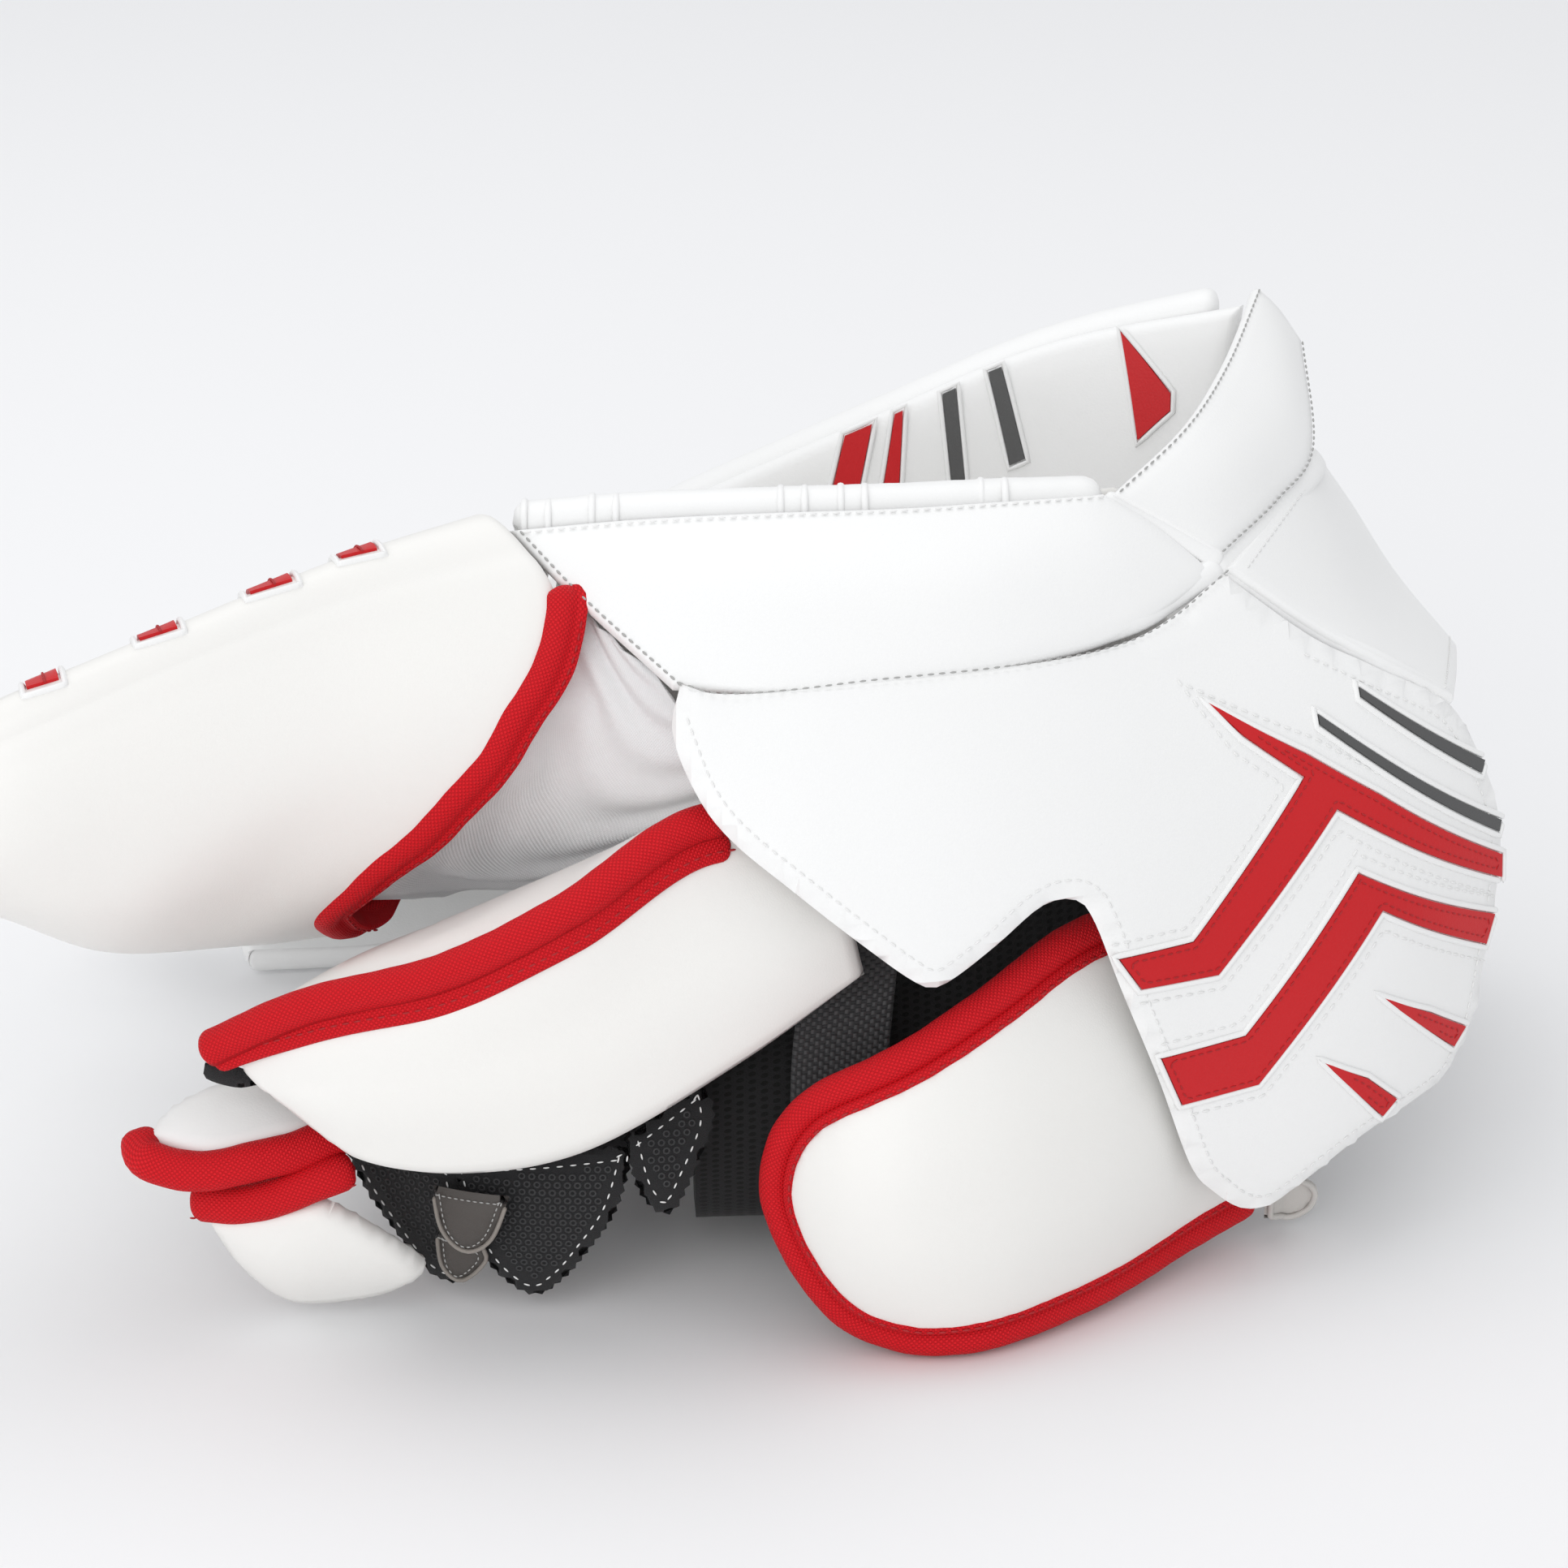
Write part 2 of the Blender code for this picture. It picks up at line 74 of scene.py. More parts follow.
def weights(count, t, closed=False):
    """Catmull-Rom weights of count evenly spaced values at the places t, from 0 to 1."""
    t = np.clip(t, 0.0, 1.0) * (count - 1)
    i = np.minimum(t.astype(int), count - 2)
    f = t - i
    basis = (-0.5 * f + f ** 2 - 0.5 * f ** 3, 1 - 2.5 * f ** 2 + 1.5 * f ** 3,
             0.5 * f + 2 * f ** 2 - 1.5 * f ** 3, -0.5 * f ** 2 + 0.5 * f ** 3)
    w = np.zeros((len(t), count + 2))
    for k in range(4):
        w[np.arange(len(t)), i + k] += basis[k]
    if closed:
        w[:, count - 1] += w[:, 0]
        w[:, 2] += w[:, -1]
    else:
        w[:, 1] += 2 * w[:, 0]
        w[:, 2] -= w[:, 0]
        w[:, count] += 2 * w[:, -1]
        w[:, count - 1] -= w[:, -1]
    return w[:, 1:-1]


def loft(rows, ring=False):
    """Surface through rows of points: u along a row, v from the first row to the last, both 0 to 1."""
    knots = np.array(rows, float)

    def at(u, v):
        return np.einsum('mr,mc,rck->mk', weights(knots.shape[0], v), weights(knots.shape[1], u, ring), knots)
    at.step = LOFT_STEP
    return at


def relief(columns, levels, depths):
    """Surface seen from the front: y is a depth over x and z, its two parameters, in millimetres."""
    knots = np.array(depths, float)

    def at(x, z):
        u = (x - columns[0]) / (columns[1] - columns[0])
        v = (z - levels[0]) / (levels[1] - levels[0])
        y = np.einsum('mr,mc,rc->m', weights(knots.shape[0], v), weights(knots.shape[1], u), knots)
        return np.stack((x, y, z), 1)
    at.step = RELIEF_STEP
    return at


def with_normals(surface, u, v, step=None):
    """Points of a surface and its unit normals, taken over a short step along both of its parameters."""
    step = step or surface.step
    along = surface(u + step, v) - surface(u - step, v)
    across = surface(u, v + step) - surface(u, v - step)
    normal = np.cross(along, across)
    return surface(u, v), normal / np.maximum(np.linalg.norm(normal, axis=1, keepdims=True), TINY)


def raised(surface, height):
    """The surface moved outwards by height."""
    def at(u, v):
        point, normal = with_normals(surface, u, v)
        return point + normal * height
    at.step = surface.step
    return at


def strand(u, v, count):
    """Evenly spaced places on a straight run; u and v are each one value, or a pair: start and end."""
    ends = (way if isinstance(way, tuple) else (way, way) for way in (u, v))
    return np.stack([np.linspace(start, stop, count) for start, stop in ends], 1)


def smooth_line(points, spacing, closed=False):
    """Evenly spaced points on a smooth line through the given points."""
    knots = np.array(points, float)
    if closed:
        knots = np.vstack((knots, knots[:1]))
    fine = weights(len(knots), np.linspace(0, 1, len(knots) * 16), closed) @ knots
    run = np.concatenate(([0.0], np.cumsum(np.linalg.norm(np.diff(fine, axis=0), axis=1))))
    count = max(int(run[-1] / spacing), 2)
    even = np.linspace(0, run[-1], count + 1)
    line = np.stack([np.interp(even, run, fine[:, k]) for k in range(fine.shape[1])], 1)
    return line[:-1] if closed else line


def smooth_outline(points, corners, spacing=3.0):
    """Closed outline that is smooth between its corners; corners are indices of points."""
    ring = [points[k % len(points)] for k in range(corners[0], corners[0] + len(points) + 1)]
    stops = [(c - corners[0]) % len(points) for c in corners] + [len(points)]
    line = []
    for start, stop in zip(stops, stops[1:]):
        line += [tuple(p) for p in smooth_line(ring[start:stop + 1], spacing)[:-1]]
    return line


def offset_line(points, distance, closed=True):
    """The line moved sideways, to its left, by distance."""
    p = np.array(points, float)
    ahead = np.roll(p, -1, 0) - p
    behind = p - np.roll(p, 1, 0)
    if not closed:
        ahead[-1] = behind[-1]
        behind[0] = ahead[0]
    a = ahead / np.maximum(np.linalg.norm(ahead, axis=1, keepdims=True), 1e-6)
    b = behind / np.maximum(np.linalg.norm(behind, axis=1, keepdims=True), 1e-6)
    left = np.stack((-(a + b)[:, 1], (a + b)[:, 0]), 1)
    length = np.linalg.norm(left, axis=1, keepdims=True)
    return p + left / np.maximum(length, 1e-6) * distance * 2 / np.maximum(length, 0.9)


# ================================================================ meshes

def build(name, points, faces, uv, finish, body, nodes=(), sharp=THIN_SHARP):
    """A finished piece from points in the drawing frame; it rides on a body and stands for CAD nodes."""
    mesh = bpy.data.meshes.new(name)
    mesh.from_pydata(((np.asarray(points) + SHIFT) * MM).tolist(), [], faces)
    layer = mesh.uv_layers.new(name="cut")
    loops = np.empty(len(mesh.loops), dtype=int)
    mesh.loops.foreach_get("vertex_index", loops)
    layer.data.foreach_set("uv", (np.asarray(uv) * MM)[loops].ravel())
    mesh.shade_smooth()
    mesh.set_sharp_from_angle(angle=math.radians(sharp))
    mesh.materials.append(finish)
    return settle(in_scene(name, mesh), body, nodes)


def in_scene(name, data):
    """A new object in the scene."""
    obj = bpy.data.objects.new(name, data)
    bpy.context.scene.collection.objects.link(obj)
    return obj


def settle(obj, body, nodes=()):
    """Put a finished piece on its body; a piece with no body stays where it is."""
    if body:
        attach(obj, body)
    if nodes:
        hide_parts(*nodes)
    return obj


def arc(share):
    """Height of a round edge, 0 at the edge and 1 past its radius."""
    near = np.clip(share, 0.0, 1.0)
    return np.sqrt(np.maximum(1 - (1 - near) ** 2, 0.0))


def soft(share):
    """Soft step from 0 to 1, for a crowned pad."""
    near = np.clip(share, 0.0, 1.0)
    return near * near * (3 - 2 * near)


def grid_form(size, radius, pitch=PITCH, span=((0.0, 1.0), (0.0, 1.0))):
    """Rectangular form over a loft: places, quads and distance to the edge, in millimetres."""
    lines = []
    for length in size:
        turn = radius * (1 - np.cos(np.linspace(0, math.pi / 2, 5)))
        inner = np.linspace(radius, length - radius, max(int((length - 2 * radius) / pitch), 2) + 1)
        lines.append(np.concatenate((turn, inner[1:-1], length - turn[::-1])))
    a, b = np.meshgrid(lines[0], lines[1])
    edge = np.minimum(np.minimum(a, size[0] - a), np.minimum(b, size[1] - b)).ravel()
    nu, nv = len(lines[0]), len(lines[1])
    faces = [(j * nu + i, j * nu + i + 1, (j + 1) * nu + i + 1, (j + 1) * nu + i)
             for j in range(nv - 1) for i in range(nu - 1)]
    (u0, u1), (v0, v1) = span
    place = np.stack((u0 + (u1 - u0) * a.ravel() / size[0], v0 + (v1 - v0) * b.ravel() / size[1]), 1)
    uv = np.stack((a.ravel(), b.ravel()), 1)
    return place, faces, edge, uv


def cut_form(outline, radius, pitch=PITCH, scale=1.0):
    """Form cut to an outline: rings follow the edge, and a grid fills the rest."""
    form = bmesh.new()
    field = form.faces.new([form.verts.new((a, b, 0.0)) for a, b in outline])
    before = 0.0
    for angle in (30, 60, 90) if radius else ():
        depth = radius * (1 - math.cos(math.radians(angle)))
        bmesh.ops.inset_region(form, faces=[field], thickness=depth - before, use_even_offset=True)
        before = depth
    rings = {f for f in form.faces if f is not field}
    low = np.min(outline, axis=0)
    high = np.max(outline, axis=0)
    for axis in (0, 1):
        normal = Vector((1, 0, 0)) if axis == 0 else Vector((0, 1, 0))
        for cut in np.arange(math.ceil(low[axis] / pitch) * pitch, high[axis], pitch):
            inner = [f for f in form.faces if f not in rings]
            edges = {e for f in inner for e in f.edges}
            verts = {v for f in inner for v in f.verts}
            bmesh.ops.bisect_plane(form, geom=list(verts) + list(edges) + inner, dist=1e-5,
                                   plane_co=normal * float(cut), plane_no=normal)
    bmesh.ops.triangulate(form, faces=[f for f in form.faces if len(f.verts) > 4])
    form.verts.ensure_lookup_table()
    place = np.array([v.co[:2] for v in form.verts])
    faces = [tuple(v.index for v in f.verts) for f in form.faces]
    border = np.array([v.is_boundary for v in form.verts])
    form.free()
    edge = outline_distance(place, outline)
    edge[border] = 0.0
    return place, faces, edge * scale, place * scale


def rounded_form(size, corners, radius, pitch=3.0):
    """Form over a loft, cut to a soft outline drawn in millimetres along its two sides."""
    outline = smooth_line(corners, 3.0, closed=True)
    place, faces, edge, uv = cut_form([tuple(p) for p in np.clip(outline, 0, size)], radius, pitch)
    return np.clip(place / size, 0, 1), faces, edge, uv


def outline_distance(places, outline):
    a = np.array(outline, float)
    b = np.roll(a, -1, 0)
    best = np.full(len(places), 1e9)
    for start, stop in zip(a, b):
        way = stop - start
        t = np.clip(((places - start) @ way) / max(way @ way, 1e-12), 0, 1)
        best = np.minimum(best, np.linalg.norm(places - start - t[:, None] * way, axis=1))
    return best


def two_sided(form, surface, front, back):
    """Closed solid on a form; front and back are heights above the surface for a distance to the edge."""
    place, faces, edge, uv = form
    point, normal = with_normals(surface, place[:, 0], place[:, 1])
    top = point + normal * front(edge)[:, None]
    bottom = point + normal * back(edge)[:, None]
    count = len(place)
    border = {}
    for face in faces:
        for a, b in zip(face, face[1:] + face[:1]):
            if (b, a) in border:
                del border[(b, a)]
            else:
                border[(a, b)] = True
    solid = [tuple(f) for f in faces] + [tuple(k + count for k in reversed(f)) for f in faces]
    solid += [(b, a, a + count, b + count) for a, b in border]
    return np.vstack((top, bottom)), solid, np.vstack((uv, uv))


def closed_up(points, faces, uv):
    """Merge the two sides where they meet at the edge."""
    key = {}
    order = np.empty(len(points), dtype=int)
    kept = []
    for k, p in enumerate(np.round(points, 3).tolist()):
        spot = tuple(p)
        if spot not in key:
            key[spot] = len(kept)
            kept.append(k)
        order[k] = key[spot]
    merged = []
    for face in faces:
        ring = []
        for k in face:
            if order[k] not in ring:
                ring.append(int(order[k]))
        if len(ring) > 2:
            merged.append(tuple(ring))
    return points[kept], merged, uv[kept]


HEM = 1.5        # width of a panel's edge that stays put when its pad is blown up
FRONTS = {}      # for each panel, which of its first points are free on its outer side


def leather_panel(name, form, surface, thickness, finish, body, nodes=(), crown=0.0, reach=30.0, top=0.0,
                  radius=None):
    """A panel whose outer side is the surface raised by top, with a round edge and a soft crown."""
    half = thickness / 2
    turn = half if radius is None else radius

    def front(d):
        edge = half * arc(d / turn) if turn else np.full(len(d), half)
        return top - half + edge + crown * soft(d / reach)

    def back(d):
        return top - half - (half * arc(d / turn) if turn else np.full(len(d), half))
    points, faces, uv = closed_up(*two_sided(form, surface, front, back))
    FRONTS[name] = form[2] > HEM
    sharp = PADDED_SHARP if thickness > BOARD else THIN_SHARP
    return build(name, points, faces, uv, finish, body, nodes, sharp)


def plump(obj, most):
    """Blow a pad up as cloth over its foam: the back and the edge are held, the front fills and puckers."""
    mesh = obj.data
    count = len(mesh.vertices)
    flat = np.empty(count * 3)
    mesh.vertices.foreach_get("co", flat)
    flat = flat.reshape(-1, 3)
    loose = np.zeros(count, bool)
    loose[:len(FRONTS[obj.name])] = FRONTS[obj.name]
    held = obj.vertex_groups.new(name="held")
    held.add([int(k) for k in np.flatnonzero(~loose)], 1.0, 'REPLACE')
    cloth = obj.modifiers.new("plump", 'CLOTH')
    cloth.settings.quality = 5
    cloth.settings.mass = 0.3
    cloth.settings.use_pressure = True
    cloth.settings.uniform_pressure_force = 4.0
    cloth.settings.effector_weights.gravity = 0.0
    cloth.settings.vertex_group_mass = "held"
    scene = bpy.context.scene
    for moment in range(1, 21):
        scene.frame_set(moment)
    blown = obj.evaluated_get(bpy.context.evaluated_depsgraph_get()).data
    full = np.empty(count * 3)
    blown.vertices.foreach_get("co", full)
    moved = full.reshape(-1, 3) - flat
    size = np.linalg.norm(moved, axis=1, keepdims=True)
    moved *= np.minimum(1.0, most * MM / np.maximum(size, 1e-9))
    obj.modifiers.remove(cloth)
    obj.vertex_groups.clear()
    scene.frame_set(1)
    mesh.vertices.foreach_set("co", (flat + moved).ravel())
    mesh.update()


def sweep(name, path, normals, profile, finish, body, nodes=(), closed=False, ripple=0.0, taper=1.0):
    """A profile carried along a path; profile is (sideways, outwards) points, sideways to the right.

    ripple varies its size along the way, taper is its size at the far end, and open ends are rounded off.
    """
    path = np.asarray(path, float)
    if not closed:
        steps = np.arange(len(path))
        near = np.array((0.0, 0.12, 0.35, 0.65))
        dense = np.concatenate((near, steps[1:-1], len(path) - 1 - near[::-1]))
        path = np.stack([np.interp(dense, steps, path[:, k]) for k in range(3)], 1)
        normals = np.stack([np.interp(dense, steps, np.asarray(normals)[:, k]) for k in range(3)], 1)
    tangent = np.gradient(path, axis=0)
    if closed:
        tangent = np.roll(path, -1, 0) - np.roll(path, 1, 0)
    tangent /= np.linalg.norm(tangent, axis=1, keepdims=True)
    normals = normals - (normals * tangent).sum(1, keepdims=True) * tangent
    normals /= np.linalg.norm(normals, axis=1, keepdims=True)
    side = np.cross(tangent, normals)
    profile = np.asarray(profile, float)
    run = np.concatenate(([0.0], np.cumsum(np.linalg.norm(np.diff(path, axis=0), axis=1))))
    swing = 1 + ripple * (np.sin(run / 1.9) * np.sin(run / 5.3 + 1) + 0.6 * np.sin(run / 9.0))
    swing *= np.interp(run, (0, run[-1] - 22, run[-1]), (1, 1, taper))
    if not closed:
        blunt = 0.7 * np.abs(profile[:, 0]).max()
        swing *= 0.35 + 0.65 * arc(np.minimum(run, run[-1] - run) / blunt)
    count = len(profile)
    points = (path[:, None] + side[:, None] * profile[None, :, :1] * swing[:, None, None]
              + normals[:, None] * profile[None, :, 1:] * swing[:, None, None]).reshape(-1, 3)
    around = np.concatenate(([0.0], np.cumsum(np.linalg.norm(np.diff(profile, axis=0), axis=1))))
    uv = np.stack((np.repeat(run, count), np.tile(around, len(path))), 1)
    faces = []
    last = len(path) if closed else len(path) - 1
    for i in range(last):
        j = (i + 1) % len(path)
        for k in range(count):
            m = (k + 1) % count
            faces.append((i * count + k, i * count + m, j * count + m, j * count + k))
    if not closed:
        for ring, flip in ((0, False), (len(path) - 1, True)):
            centre = len(points)
            points = np.vstack((points, points[ring * count:(ring + 1) * count].mean(0)
                                + tangent[ring] * (0.5 if flip else -0.5)))
            uv = np.vstack((uv, uv[ring * count]))
            for k in range(count):
                a, b = ring * count + k, ring * count + (k + 1) % count
                faces.append((a, b, centre) if flip else (b, a, centre))
    return build(name, points, faces, uv, finish, body, nodes, sharp=60)


def welt(name, knots, facing, width, height, body):
    """A soft white strip let into a seam, so that the panels on both sides meet on it."""
    path = smooth_line(knots, 2.5)
    sweep(name, path, np.tile(facing, (len(path), 1)), oval(width, height, 14), WHITE_LEATHER, body)


def oval(width, height, count=20, power=2.0):
    """Oval profile, anticlockwise, of half-width and half-height; a higher power is squarer."""
    turn = np.linspace(0, 2 * math.pi, count, endpoint=False)
    c, s = np.cos(turn), np.sin(turn)
    flat = 2.0 / power
    return np.stack((np.sign(c) * np.abs(c) ** flat * width, np.sign(s) * np.abs(s) ** flat * height), 1)


# ================================================================ geometry nodes

def add(tree, kind, feeds=(), **settings):
    """A node with its settings; feeds are pairs of an input and its value, or the socket that feeds it."""
    node = tree.nodes.new(kind)
    for label, value in settings.items():
        setattr(node, label, value)
    for label, value in feeds:
        if isinstance(value, bpy.types.NodeSocket):
            tree.links.new(value, node.inputs[label])
        else:
            node.inputs[label].default_value = value
    return node


def node_tree(name, inputs):
    """A geometry tree, and the sockets of its inputs; inputs with no value are materials."""
    tree = bpy.data.node_groups.new(name, 'GeometryNodeTree')
    tree.interface.new_socket("Geometry", in_out='INPUT', socket_type='NodeSocketGeometry')
    for label, value in inputs:
        kind = 'NodeSocketMaterial' if value is None else 'NodeSocketFloat'
        socket = tree.interface.new_socket(label, in_out='INPUT', socket_type=kind)
        if value is not None:
            socket.default_value = value
    tree.interface.new_socket("Geometry", in_out='OUTPUT', socket_type='NodeSocketGeometry')
    return tree, add(tree, 'NodeGroupInput').outputs


def upright(tree, direction):
    return add(tree, 'FunctionNodeAlignRotationToVector', (("Vector", direction),), axis='Z').outputs[0]


def circle(tree, radius, sides):
    feeds = (("Resolution", sides), ("Radius", radius))
    return add(tree, 'GeometryNodeCurvePrimitiveCircle', feeds).outputs[0]


def painted(tree, geometry, material):
    """Close a tree: real geometry with its material."""
    real = add(tree, 'GeometryNodeRealizeInstances', ((0, geometry),))
    paint = add(tree, 'GeometryNodeSetMaterial', (("Geometry", real.outputs[0]), ("Material", material)))
    add(tree, 'NodeGroupOutput', ((0, paint.outputs[0]),))
    return tree


def stitch_tree():
    """Thread stitches along every spline: one rounded stitch per step, lying along the line."""
    tree, given = node_tree("thread_stitches", (
        ("Step", 0.0035), ("Length", 0.0024), ("Thickness", 0.0007), ("Thread", None)))
    spaced = add(tree, 'GeometryNodeResampleCurve', (("Curve", given["Geometry"]), ("Length", given["Step"])),
                 mode='LENGTH')
    bead = add(tree, 'GeometryNodeMeshUVSphere', (("Segments", 6), ("Rings", 5), ("Radius", 0.5)))
    size = add(tree, 'ShaderNodeCombineXYZ', (
        ("X", given["Thickness"]), ("Y", given["Thickness"]), ("Z", given["Length"])))
    put = add(tree, 'GeometryNodeInstanceOnPoints', (
        ("Points", spaced.outputs[0]), ("Instance", bead.outputs["Mesh"]),
        ("Rotation", upright(tree, add(tree, 'GeometryNodeInputTangent').outputs[0])),
        ("Scale", size.outputs[0])))
    return painted(tree, put.outputs[0], given["Thread"])


def eyelet_tree():
    """Small rings on points: the rims of punched holes, turned to each point's facing."""
    tree, given = node_tree("punched_holes", (("Hole", 0.0007), ("Rim", 0.0002), ("Cloth", None)))
    points = add(tree, 'GeometryNodeMeshToPoints', (("Mesh", given["Geometry"]),))
    facing = add(tree, 'GeometryNodeInputNamedAttribute', (("Name", "facing"),), data_type='FLOAT_VECTOR')
    solid = add(tree, 'GeometryNodeCurveToMesh', (
        ("Curve", circle(tree, given["Hole"], 8)), ("Profile Curve", circle(tree, given["Rim"], 4))))
    put = add(tree, 'GeometryNodeInstanceOnPoints', (
        ("Points", points.outputs[0]), ("Instance", solid.outputs[0]),
        ("Rotation", upright(tree, facing.outputs["Attribute"]))))
    return painted(tree, put.outputs[0], given["Cloth"])


def lace_tree():
    """Round laces along every spline."""
    tree, given = node_tree("pocket_laces", (("Radius", 0.0014), ("Lace", None)))
    solid = add(tree, 'GeometryNodeCurveToMesh', (
        ("Fill Caps", True), ("Curve", given["Geometry"]), ("Profile Curve",
                                                            circle(tree, given["Radius"], 8))))
    return painted(tree, solid.outputs[0], given["Lace"])


def grown(name, source, tree, values, finish, body, nodes=()):
    """The plain mesh that a node tree makes from a source object, which is then removed."""
    grow = source.modifiers.new("grow", 'NODES')
    grow.node_group = tree
    for item in tree.interface.items_tree:
        if item.item_type == 'SOCKET' and item.in_out == 'INPUT' and item.name != "Geometry":
            is_material = item.socket_type == 'NodeSocketMaterial'
            grow[item.identifier] = finish if is_material else values[item.name] * MM
    bpy.context.view_layer.update()
    result = source.evaluated_get(bpy.context.evaluated_depsgraph_get())
    mesh = bpy.data.meshes.new_from_object(result)
    mesh.name = name
    mesh.shade_smooth()
    bpy.data.objects.remove(source)
    return settle(in_scene(name, mesh), body, nodes)


def line_object(lines):
    """A curve object with one poly spline for each line of points."""
    data = bpy.data.curves.new("lines", 'CURVE')
    data.dimensions = '3D'
    for line in lines:
        spline = data.splines.new('POLY')
        spline.points.add(len(line) - 1)
        for knot, point in zip(spline.points, (np.asarray(line) + SHIFT) * MM):
            knot.co = (*point, 1.0)
    return in_scene("lines", data)


FINE_SEAM = (3.0, 2.0, 0.6)       # step, length and thickness of stitches on leather, and on bindings
BINDING_SEAM = (3.2, 2.2, 0.7)
STITCHES = {}


def stitch(body, thread, line, step=3.4, length=2.3, thickness=0.7):
    """Remember a line of stitches; all lines of one body, thread and size become one piece."""
    STITCHES.setdefault((body, thread, step, length, thickness), []).append(line)


def stitch_run(body, thread, surface, run, height, *size):
    """Stitches on a straight run over a surface; run is what strand takes, and size what stitch takes."""
    stitch(body, thread, on_surface(surface, strand(*run), height), *size)


def sew():
    tree = stitch_tree()
    for number, ((body, thread, step, length, thickness), lines) in enumerate(STITCHES.items()):
        values = {"Step": step, "Length": length, "Thickness": thickness}
        grown(f"stitches_{thread}_{body}_{number + 1}", line_object(lines), tree, values, THREAD[thread],
              body)


def on_surface(surface, line, height):
    """Points at a height over a surface, along a line of its two parameters."""
    point, normal = with_normals(surface, *np.asarray(line, float).T)
    return point + normal * height


# ================================================================ finishes

def group(name, outputs, inputs):
    """A shader group of plain values, the sockets of its inputs, and its last node's inputs."""
    tree = bpy.data.node_groups.new(name, 'ShaderNodeTree')
    for label, value in inputs:
        socket = tree.interface.new_socket(label, in_out='INPUT', socket_type='NodeSocketFloat')
        socket.default_value = value
    for label in outputs:
        tree.interface.new_socket(label, in_out='OUTPUT', socket_type='NodeSocketFloat')
    return tree, add(tree, 'NodeGroupInput').outputs, add(tree, 'NodeGroupOutput').inputs


def maths(tree, operation, a, b=None):
    feeds = [(place, value) for place, value in enumerate((a, b)) if value is not None]
    return add(tree, 'ShaderNodeMath', feeds, operation=operation).outputs[0]


def noise(tree, coords, scale, detail=2.0, rough=0.5):
    return add(tree, 'ShaderNodeTexNoise', (
        ("Vector", coords), ("Scale", scale), ("Detail", detail), ("Roughness", rough))).outputs["Fac"]


def own_map(tree):
    """A piece's own flat map, and its two directions."""
    place = add(tree, 'ShaderNodeUVMap', uv_map="cut").outputs[0]
    parts = add(tree, 'ShaderNodeSeparateXYZ', ((0, place),)).outputs
    return place, parts["X"], parts["Y"]


def leather_group():
    """Pebbled grain with fine creases: Height for a bump, Cloud for slow variation."""
    tree, given, out = group("leather_grain", ("Height", "Cloud"), (("Pebbles", 900.0), ("Creases", 90.0)))
    place = add(tree, 'ShaderNodeTexCoord').outputs["Object"]
    cells = add(tree, 'ShaderNodeTexVoronoi', (("Vector", place), ("Scale", given["Pebbles"])),
                feature='DISTANCE_TO_EDGE')
    height = maths(tree, 'MULTIPLY', maths(tree, 'POWER', cells.outputs["Distance"], 0.4), 0.6)
    height = maths(tree, 'ADD', height, maths(tree, 'MULTIPLY', noise(tree, place, 2600.0), 0.25))
    crease = noise(tree, place, given["Creases"], 4.0, 0.6)
    height = maths(tree, 'ADD', height, maths(tree, 'MULTIPLY', crease, 0.5))
    tree.links.new(height, out["Height"])
    tree.links.new(noise(tree, place, 14.0, 3.0), out["Cloud"])
    return tree


def weave_group():
    """Plain weave on a piece's own map: Height of the threads and a Mask of those on top."""
    tree, given, out = group("plain_weave", ("Height", "Mask"), (("Threads", 1500.0), ("Slub", 0.3)))
    place, x, y = own_map(tree)
    turns = maths(tree, 'MULTIPLY', given["Threads"], math.pi)
    u = maths(tree, 'SINE', maths(tree, 'MULTIPLY', x, turns))
    v = maths(tree, 'SINE', maths(tree, 'MULTIPLY', y, turns))
    mask = maths(tree, 'GREATER_THAN', maths(tree, 'MULTIPLY', u, v), 0.0)
    along = maths(tree, 'MULTIPLY', mask, maths(tree, 'ABSOLUTE', v))
    across = maths(tree, 'MULTIPLY', maths(tree, 'SUBTRACT', 1.0, mask), maths(tree, 'ABSOLUTE', u))
    slub = maths(tree, 'MULTIPLY', noise(tree, place, 700.0), given["Slub"])
    tree.links.new(maths(tree, 'ADD', maths(tree, 'ADD', along, across), slub), out["Height"])
    tree.links.new(mask, out["Mask"])
    return tree


def net_group():
    """Knitted mesh on a piece's own map: Height falls into round holes in staggered rows."""
    tree, given, out = group("knitted_mesh", ("Height", "Hole"), (("Holes", 330.0), ("Size", 0.32)))
    place, x, y = own_map(tree)
    v = maths(tree, 'MULTIPLY', y, given["Holes"])
    odd = maths(tree, 'MULTIPLY', maths(tree, 'MODULO', maths(tree, 'FLOOR', v), 2.0), 0.5)
    u = maths(tree, 'ADD', maths(tree, 'MULTIPLY', x, given["Holes"]), odd)
    du, dv = (maths(tree, 'SUBTRACT', maths(tree, 'FRACT', way), 0.5) for way in (u, v))
    squares = (maths(tree, 'MULTIPLY', way, way) for way in (du, dv))
    far = maths(tree, 'SQRT', maths(tree, 'ADD', *squares))
    hole = maths(tree, 'LESS_THAN', far, given["Size"])
    fuzz = maths(tree, 'MULTIPLY', noise(tree, place, 1800.0), 0.3)
    tree.links.new(maths(tree, 'ADD', maths(tree, 'SUBTRACT', 1.0, hole), fuzz), out["Height"])
    tree.links.new(hole, out["Hole"])
    return tree


